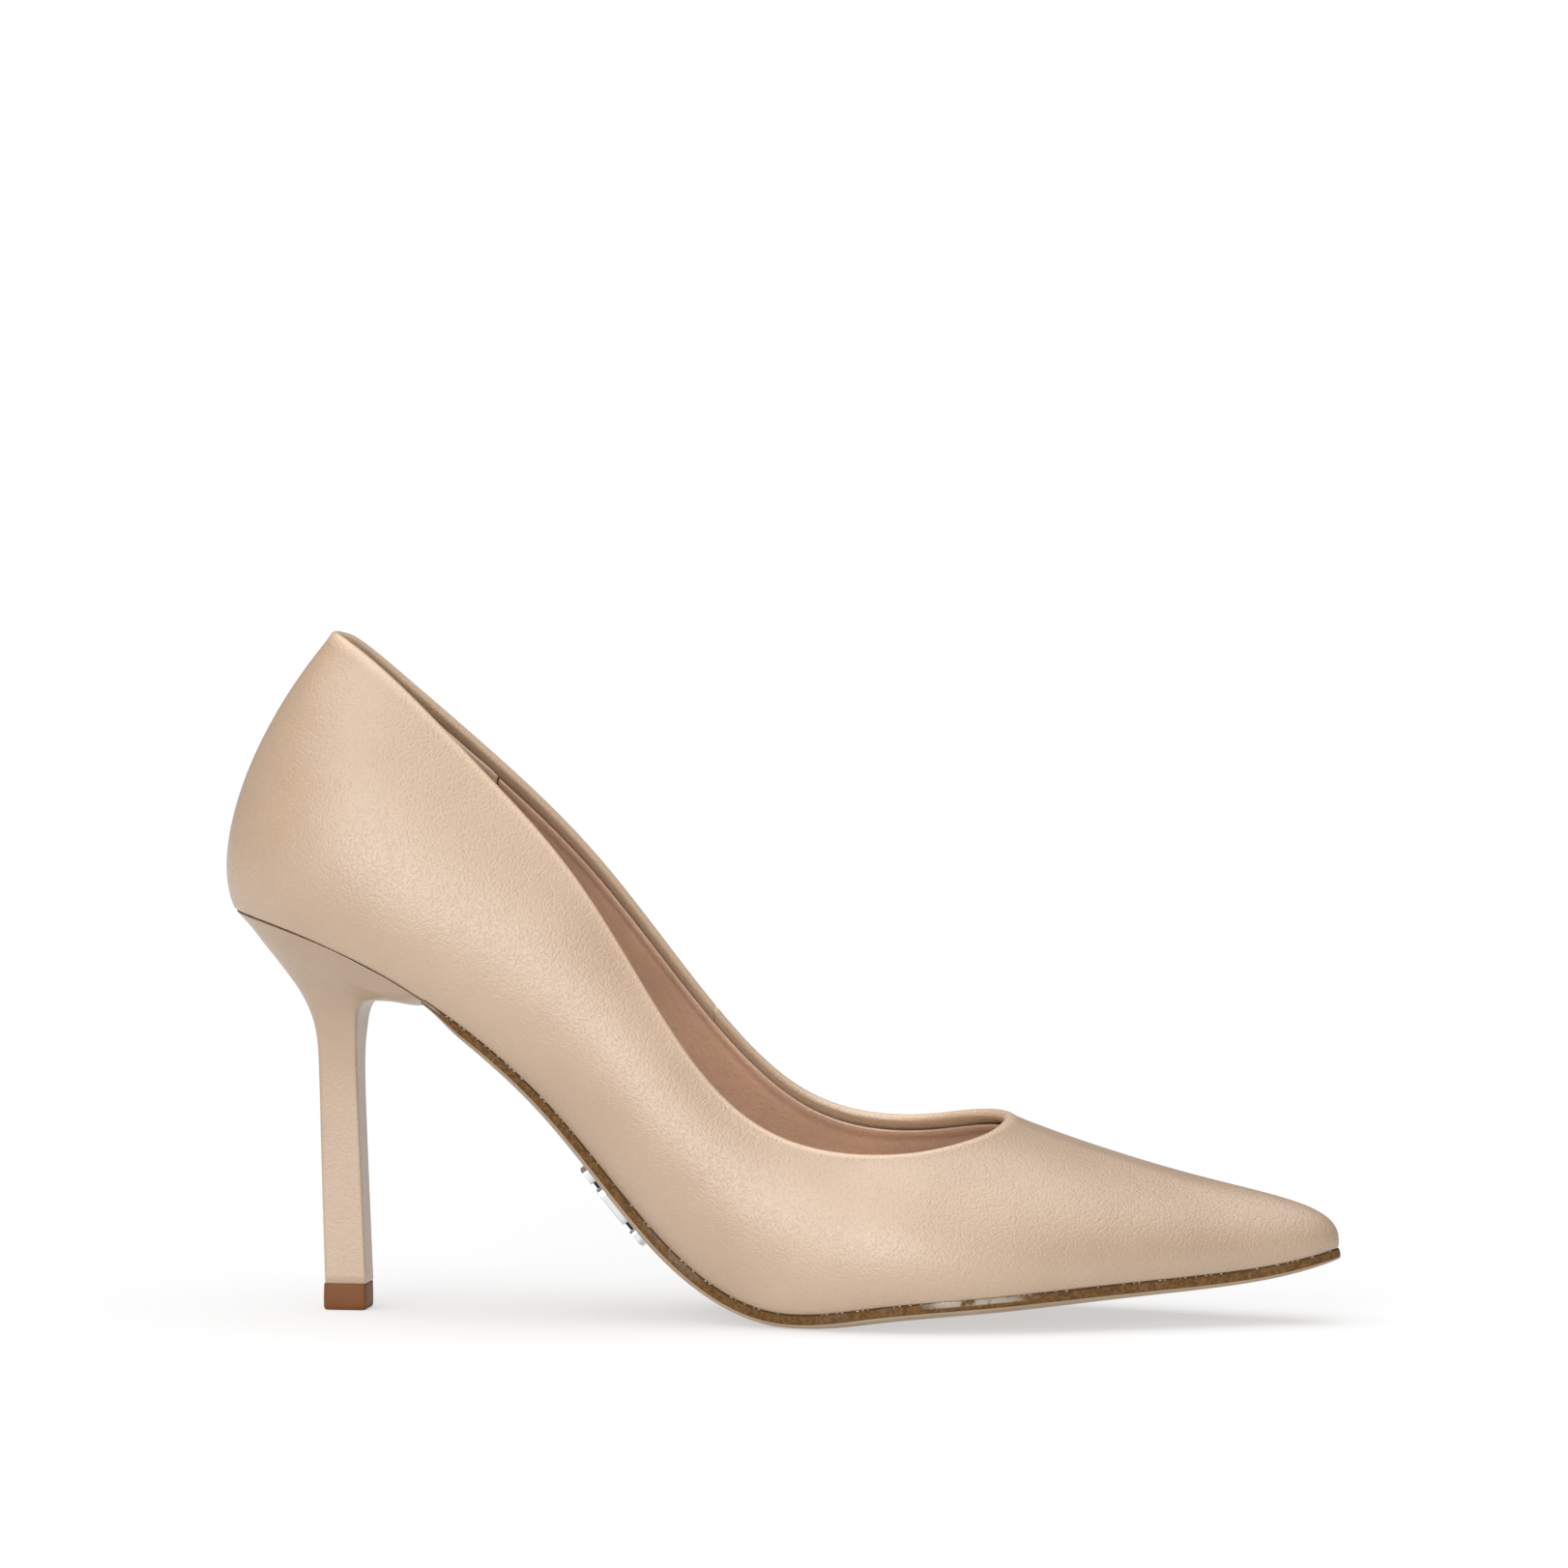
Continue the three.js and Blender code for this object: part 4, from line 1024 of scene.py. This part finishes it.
def sole_layer(name, inset, low, high, bow, attributes=None):
    """A sole layer with a bowed edge: low and high are levels, bow how far its edge stands out."""
    s = np.concatenate([np.linspace(SOLE_START, TOE - 1, 240)[:-1], np.linspace(TOE - 1, SOLE_END, 50)])
    side = np.linspace(-1, 1, 33)
    thick = thin_waist(s)
    grid_s, grid_side = np.meshgrid(s, side, indexing="ij")
    rounding = WAIST_ROUND * waist_weight(grid_s) * (1 - grid_side ** 2)
    hang = rounding if high < -1 else 0
    top = rung(grid_s, grid_side, inset, high * thick[:, None] - hang)
    bottom = rung(grid_s, grid_side, inset, low * thick[:, None] - rounding)
    down = np.linspace(0, 1, 11)[1:-1]

    def wall(end):
        stand = bow * (1 - (2 * down - 1) ** 4)
        levels = high + (low - high) * down
        return np.stack([rung(s, s * 0 + end, inset - out, level * thick)
                         for out, level in zip(stand, levels)], 1)

    rings = np.concatenate([top, wall(1.0), bottom[:, ::-1], wall(-1.0)[:, ::-1]], 1)
    marks = {key: make(rings.reshape(-1, 3)) for key, make in (attributes or {}).items()}
    drop = np.concatenate([side * 0, down, side * 0 + 1, down[::-1]])
    marks["drop"] = np.tile(drop, len(s))
    return loft(name, rings, attributes=marks)


def glazed(points):
    """Where dressing has run down the outer edge beside the ball, and in front of the heel."""
    x, y = points[:, 0], points[:, 1]
    ball = smooth(x, 34, 41) * (1 - smooth(x, 52, 62)) * (y < -15)
    breast = 0.7 - 0.7 * smooth(x, -76, -73)
    return np.maximum(ball, breast)


class SHOE_OT_sole(bpy.types.Operator):
    """Makes the brown sole with its rough edge, the pale bottom layer and the drops of glue"""
    bl_idname = "shoe.sole"
    bl_label = "Sole"

    def execute(self, context):
        colours = context.scene.shoe_colours
        brown = sole_layer("sole_brown", inset=-0.12, low=-1.95, high=0.22, bow=0.1,
                           attributes={"glaze": glazed})
        finish_piece(brown, sole_material("sole_brown", tuple(colours.sole)), "sole_brown", "outsole")
        pale = sole_layer("sole_bottom", inset=0.1, low=-TREAD_LEVEL, high=-1.97, bow=0.12)
        finish_piece(pale, lip_material("sole_pale", tuple(colours.lip)), "sole_pale", "outsole_veneer")
        tree = bead_tree(glue_material("glue"))
        for side, name in ((1, "outer"), (-1, "inner")):
            s = np.linspace(SOLE_START + 0.1, TOE - 0.2, 500)
            a = s if side > 0 else RIB_COUNT - s
            edge = inset_edge(a, -0.16) + sole_normal(s) * 0.1
            outward = unit(inset_edge(a, -1) - inset_edge(a, 1))
            drops = path_object(f"glue_drops_{name}", edge, outward)
            applied(drops, tree, {"Pitch": 0.0012, "Radius": 0.00019, "Seed": 4 + side})
            finish_piece(drops, None, "sole_pale")
        return {"FINISHED"}


# ------------------------------------------------------------------ heel
HEEL_SLICES = 96
SEAT_RIMS = ((0.5, -0.02), (0.2, -0.05), (0.0, -0.16))  # inset and level, down over the rim
HEEL_FOOT = ((0.03, -0.12), (0.1, -0.15), (0.9, -0.15))  # share of the way in, and drop


def squared_circle(count, back, front):
    """A circle pressed towards a square: back and front say how much, and 2 leaves it round."""
    angle = np.linspace(0, 2 * math.pi, count, endpoint=False)
    c, s = np.cos(angle), np.sin(angle)
    power = np.where(c > 0, 2 / front, 2 / back)
    return np.sign(c) * np.abs(c) ** power, np.sign(s) * np.abs(s) ** power


def heel_outline(back, front, half, z_back, z_front, square_back, square_front):
    """One section of the heel; its plane leans from its back height to its front height."""
    c, s = squared_circle(HEEL_SLICES, square_back, square_front)
    x = (back + front) / 2 + (front - back) / 2 * c
    y = half * s
    z = z_back + (z_front - z_back) * (x - back) / (front - back)
    return np.stack([x, y, z], -1)


def heel_rim(inset, level):
    """The seat rim, which follows the feather surface."""
    c, s = squared_circle(HEEL_SLICES, 2.2, 6.0)
    back, front, half, centre = -123.9 + inset, -77.0 - inset, 20.7 - inset, -95.0
    x = centre + np.where(c > 0, front - centre, centre - back) * c
    return sole_at(x, half * s, level)


def catmull(values, t):
    """Smooth open curve through the rows of values at the numbers t."""
    padded = np.concatenate([2 * values[:1] - values[1:2], values, 2 * values[-1:] - values[-2:-1]])
    i = np.clip(np.floor(t).astype(int), 0, len(values) - 2)
    u = (t - i).reshape(-1, *([1] * (values.ndim - 1)))
    p0, p1, p2, p3 = (padded[i + k] for k in range(4))
    return 0.5 * (2 * p1 + (p2 - p0) * u + (2 * p0 - 5 * p1 + 4 * p2 - p3) * u ** 2
                  + (3 * p1 - p0 - 3 * p2 + p3) * u ** 3)


class SHOE_OT_heel(bpy.types.Operator):
    """Covers the heel in leather down to the top piece"""
    bl_idname = "shoe.heel"
    bl_label = "Heel"

    def execute(self, context):
        colours = context.scene.shoe_colours
        *seat, rim = [heel_rim(inset, level) for inset, level in SEAT_RIMS]
        sections = np.stack([rim] + [heel_outline(*row) for row in HEEL])
        rings = catmull(sections, np.linspace(0, len(sections) - 1, 150))
        centre = rim.mean(0)
        roof = []
        for scale in (0.02, 0.3, 0.6, 0.85):
            x, y, _ = (centre + (seat[0] - centre) * scale).T
            roof.append(sole_at(x, y, -0.1))
        last = rings[-1]
        foot = [last + (last.mean(0) - last) * share + (0, 0, drop) for share, drop in HEEL_FOOT]
        rings = np.concatenate([np.stack(roof + seat), rings, np.stack(foot)])
        heel = loft("heel_leather", rings)
        # the same nappa painted 8% darker for the heel as shade, with painted shade under the seat as well
        nappa = nappa_material("heel_nappa_painted_shade", times(colours.nappa, 0.92), 0.4, heel_painted_shade)
        finish_piece(heel, nappa, "nappa_leather", "heel_cover")
        return {"FINISHED"}


TIP_HALF = 4.7
TIP_PROFILE = ((0.0, -4.4), (0.0, -0.35), (0.1, -0.12), (0.35, 0.08), (0.8, 0.2), (3.0, 0.22),
               (5.5, 0.16), (5.9, 0.1), (6.05, -0.08), (6.05, -1.2))  # height, and growth of the half width


class SHOE_OT_top_piece(bpy.types.Operator):
    """Moulds the polyurethane top piece with its bevelled lower edge"""
    bl_idname = "shoe.top_piece"
    bl_label = "Top piece"

    def execute(self, context):
        colours = context.scene.shoe_colours
        c, s = squared_circle(72, 12.5, 12.5)
        rings = []
        for z, grow in TIP_PROFILE:
            half = TIP_HALF + grow
            rings.append(np.stack([TIP_CENTRE[0] + 0.3 + half * c, half * s, c * 0 + z], -1))
        piece = loft("top_piece_moulded", rings)
        finish_piece(piece, top_piece_material("top_piece", tuple(colours.top_piece)),
                     "top_piece_plastic", "top_piece")
        return {"FINISHED"}


# ------------------------------------------------------------------ badge
BADGE_START, BADGE_END = -40.4, -26.2  # along the shoe
BADGE_HALF = 3.0  # half its width
BAR_STAND, WEB_STAND = 2.8, 2.2  # how far the bars and the web stand out of the sole
BADGE_GRID = (25, 13)
BADGE_LENGTHS = ((0.0, 0.2), (0.27, 0.71), (0.8, 1.0))  # shares of its length that the bars take up


def badge_piece(name, start, end, half, stand, outer):
    """A domed bar on the shank; outer is the end that is rounded, -1, 0 or 1."""
    t = np.linspace(-1, 1, BADGE_GRID[0])
    x = start + (end - start) * (t + 1) / 2
    taper = 1 - 0.2 * np.abs(t) ** 6
    if outer:
        taper = np.minimum(taper, np.sqrt(np.clip(1.02 - np.clip(t * outer, 0, 1) ** 3, 0.02, 1)))
    grid_x, grid_c = np.meshgrid(x, np.linspace(-1, 1, BADGE_GRID[1]), indexing="ij")
    y = grid_c * (half * taper)[:, None]
    dome = 0.35 * (1 - np.abs(grid_c) ** 2.5) * (1 - 0.5 * np.abs(t[:, None]) ** 6)
    base = -TREAD_LEVEL * thin_waist(station_at(grid_x)) - WAIST_ROUND
    face, back = sole_at(grid_x, y, base - stand - dome), sole_at(grid_x, y, base + 0.3)
    piece = loft(name, np.concatenate([face, back[:, ::-1]], 1), sharp=35)
    bevel = piece.modifiers.new("edge", "BEVEL")
    bevel.width = 0.00022
    bevel.segments = 3
    bevel.limit_method = "ANGLE"
    return piece


class SHOE_OT_badge(bpy.types.Operator):
    """Fixes the plain chrome bar, in three lengths, under the shank, on a near-black web that is painted
    shade between the bars
    """
    bl_idname = "shoe.badge"
    bl_label = "Sole badge"

    def execute(self, context):
        length = BADGE_END - BADGE_START
        chrome = chrome_material("chrome")
        for i, (low, high) in enumerate(BADGE_LENGTHS):
            piece = badge_piece(f"badge_bar_{i + 1}", BADGE_START + low * length,
                                BADGE_START + high * length, BADGE_HALF, BAR_STAND, i - 1)
            finish_piece(piece, chrome, "chrome", *(["sole_badge"] if i == 1 else []))
        # a near-black web between the bars: painted shade in the gaps
        web = badge_piece("badge_shade_web", BADGE_START + 0.08 * length, BADGE_END - 0.08 * length,
                          BADGE_HALF * 0.8, WEB_STAND, 0)
        finish_piece(web, fibre_material("badge_painted_shade", (0.02, 0.02, 0.02), 900, 0.00001), "chrome")
        return {"FINISHED"}


# ------------------------------------------------------------------ inner CAD pieces
class SHOE_OT_inner_pieces(bpy.types.Operator):
    """Gives the pieces hidden inside the shoe their own finishes"""
    bl_idname = "shoe.inner_pieces"
    bl_label = "Inner pieces"

    def execute(self, context):
        steel = steel_material("steel")
        felt = fibre_material("felt", (0.68, 0.64, 0.55), 1800, 0.00008)
        board = fibre_material("board", (0.25, 0.23, 0.19), 1200, 0.00005)
        cork = fibre_material("cork", (0.39, 0.23, 0.11), 600, 0.0001)
        plastic = fibre_material("heel_plastic", (0.8, 0.76, 0.7), 300, 0.00001)
        finishes = {
            "toe_puff": felt, "heel_counter": felt, "topline_tape": felt, "insole_board": board,
            "forepart_filler": cork, "heel_core": plastic,
        }
        for name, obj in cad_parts.items():
            if not obj.hide_render:
                obj.data.materials.clear()
                obj.data.materials.append(finishes.get(name, steel))
        return {"FINISHED"}


OPERATORS = [SHOE_OT_stage, SHOE_OT_upper, SHOE_OT_linings, SHOE_OT_sock, SHOE_OT_sole, SHOE_OT_heel,
             SHOE_OT_top_piece, SHOE_OT_badge, SHOE_OT_inner_pieces]


class SHOE_PT_panel(bpy.types.Panel):
    """Court shoe tools"""
    bl_idname = "SHOE_PT_panel"
    bl_label = "Court Shoe"
    bl_space_type = "VIEW_3D"
    bl_region_type = "UI"
    bl_category = "Court Shoe"

    def draw(self, context):
        column = self.layout.column()
        for group in (context.scene.shoe_sizes, context.scene.shoe_colours):
            for key in group.bl_rna.properties.keys():
                if key not in ("rna_type", "name"):
                    column.prop(group, key)
        for operator in OPERATORS:
            column.operator(operator.bl_idname)


CLASSES = [ShoeSizes, ShoeColours, *OPERATORS, SHOE_PT_panel]


def register():
    for cls in CLASSES:
        bpy.utils.register_class(cls)
    bpy.types.Scene.shoe_sizes = bpy.props.PointerProperty(type=ShoeSizes)
    bpy.types.Scene.shoe_colours = bpy.props.PointerProperty(type=ShoeColours)


def unregister():
    del bpy.types.Scene.shoe_colours
    del bpy.types.Scene.shoe_sizes
    for cls in reversed(CLASSES):
        bpy.utils.unregister_class(cls)


def main():
    register()
    for operator in OPERATORS:
        group, name = operator.bl_idname.split(".")
        getattr(getattr(bpy.ops, group), name)()


if __name__ == "__main__":
    main()
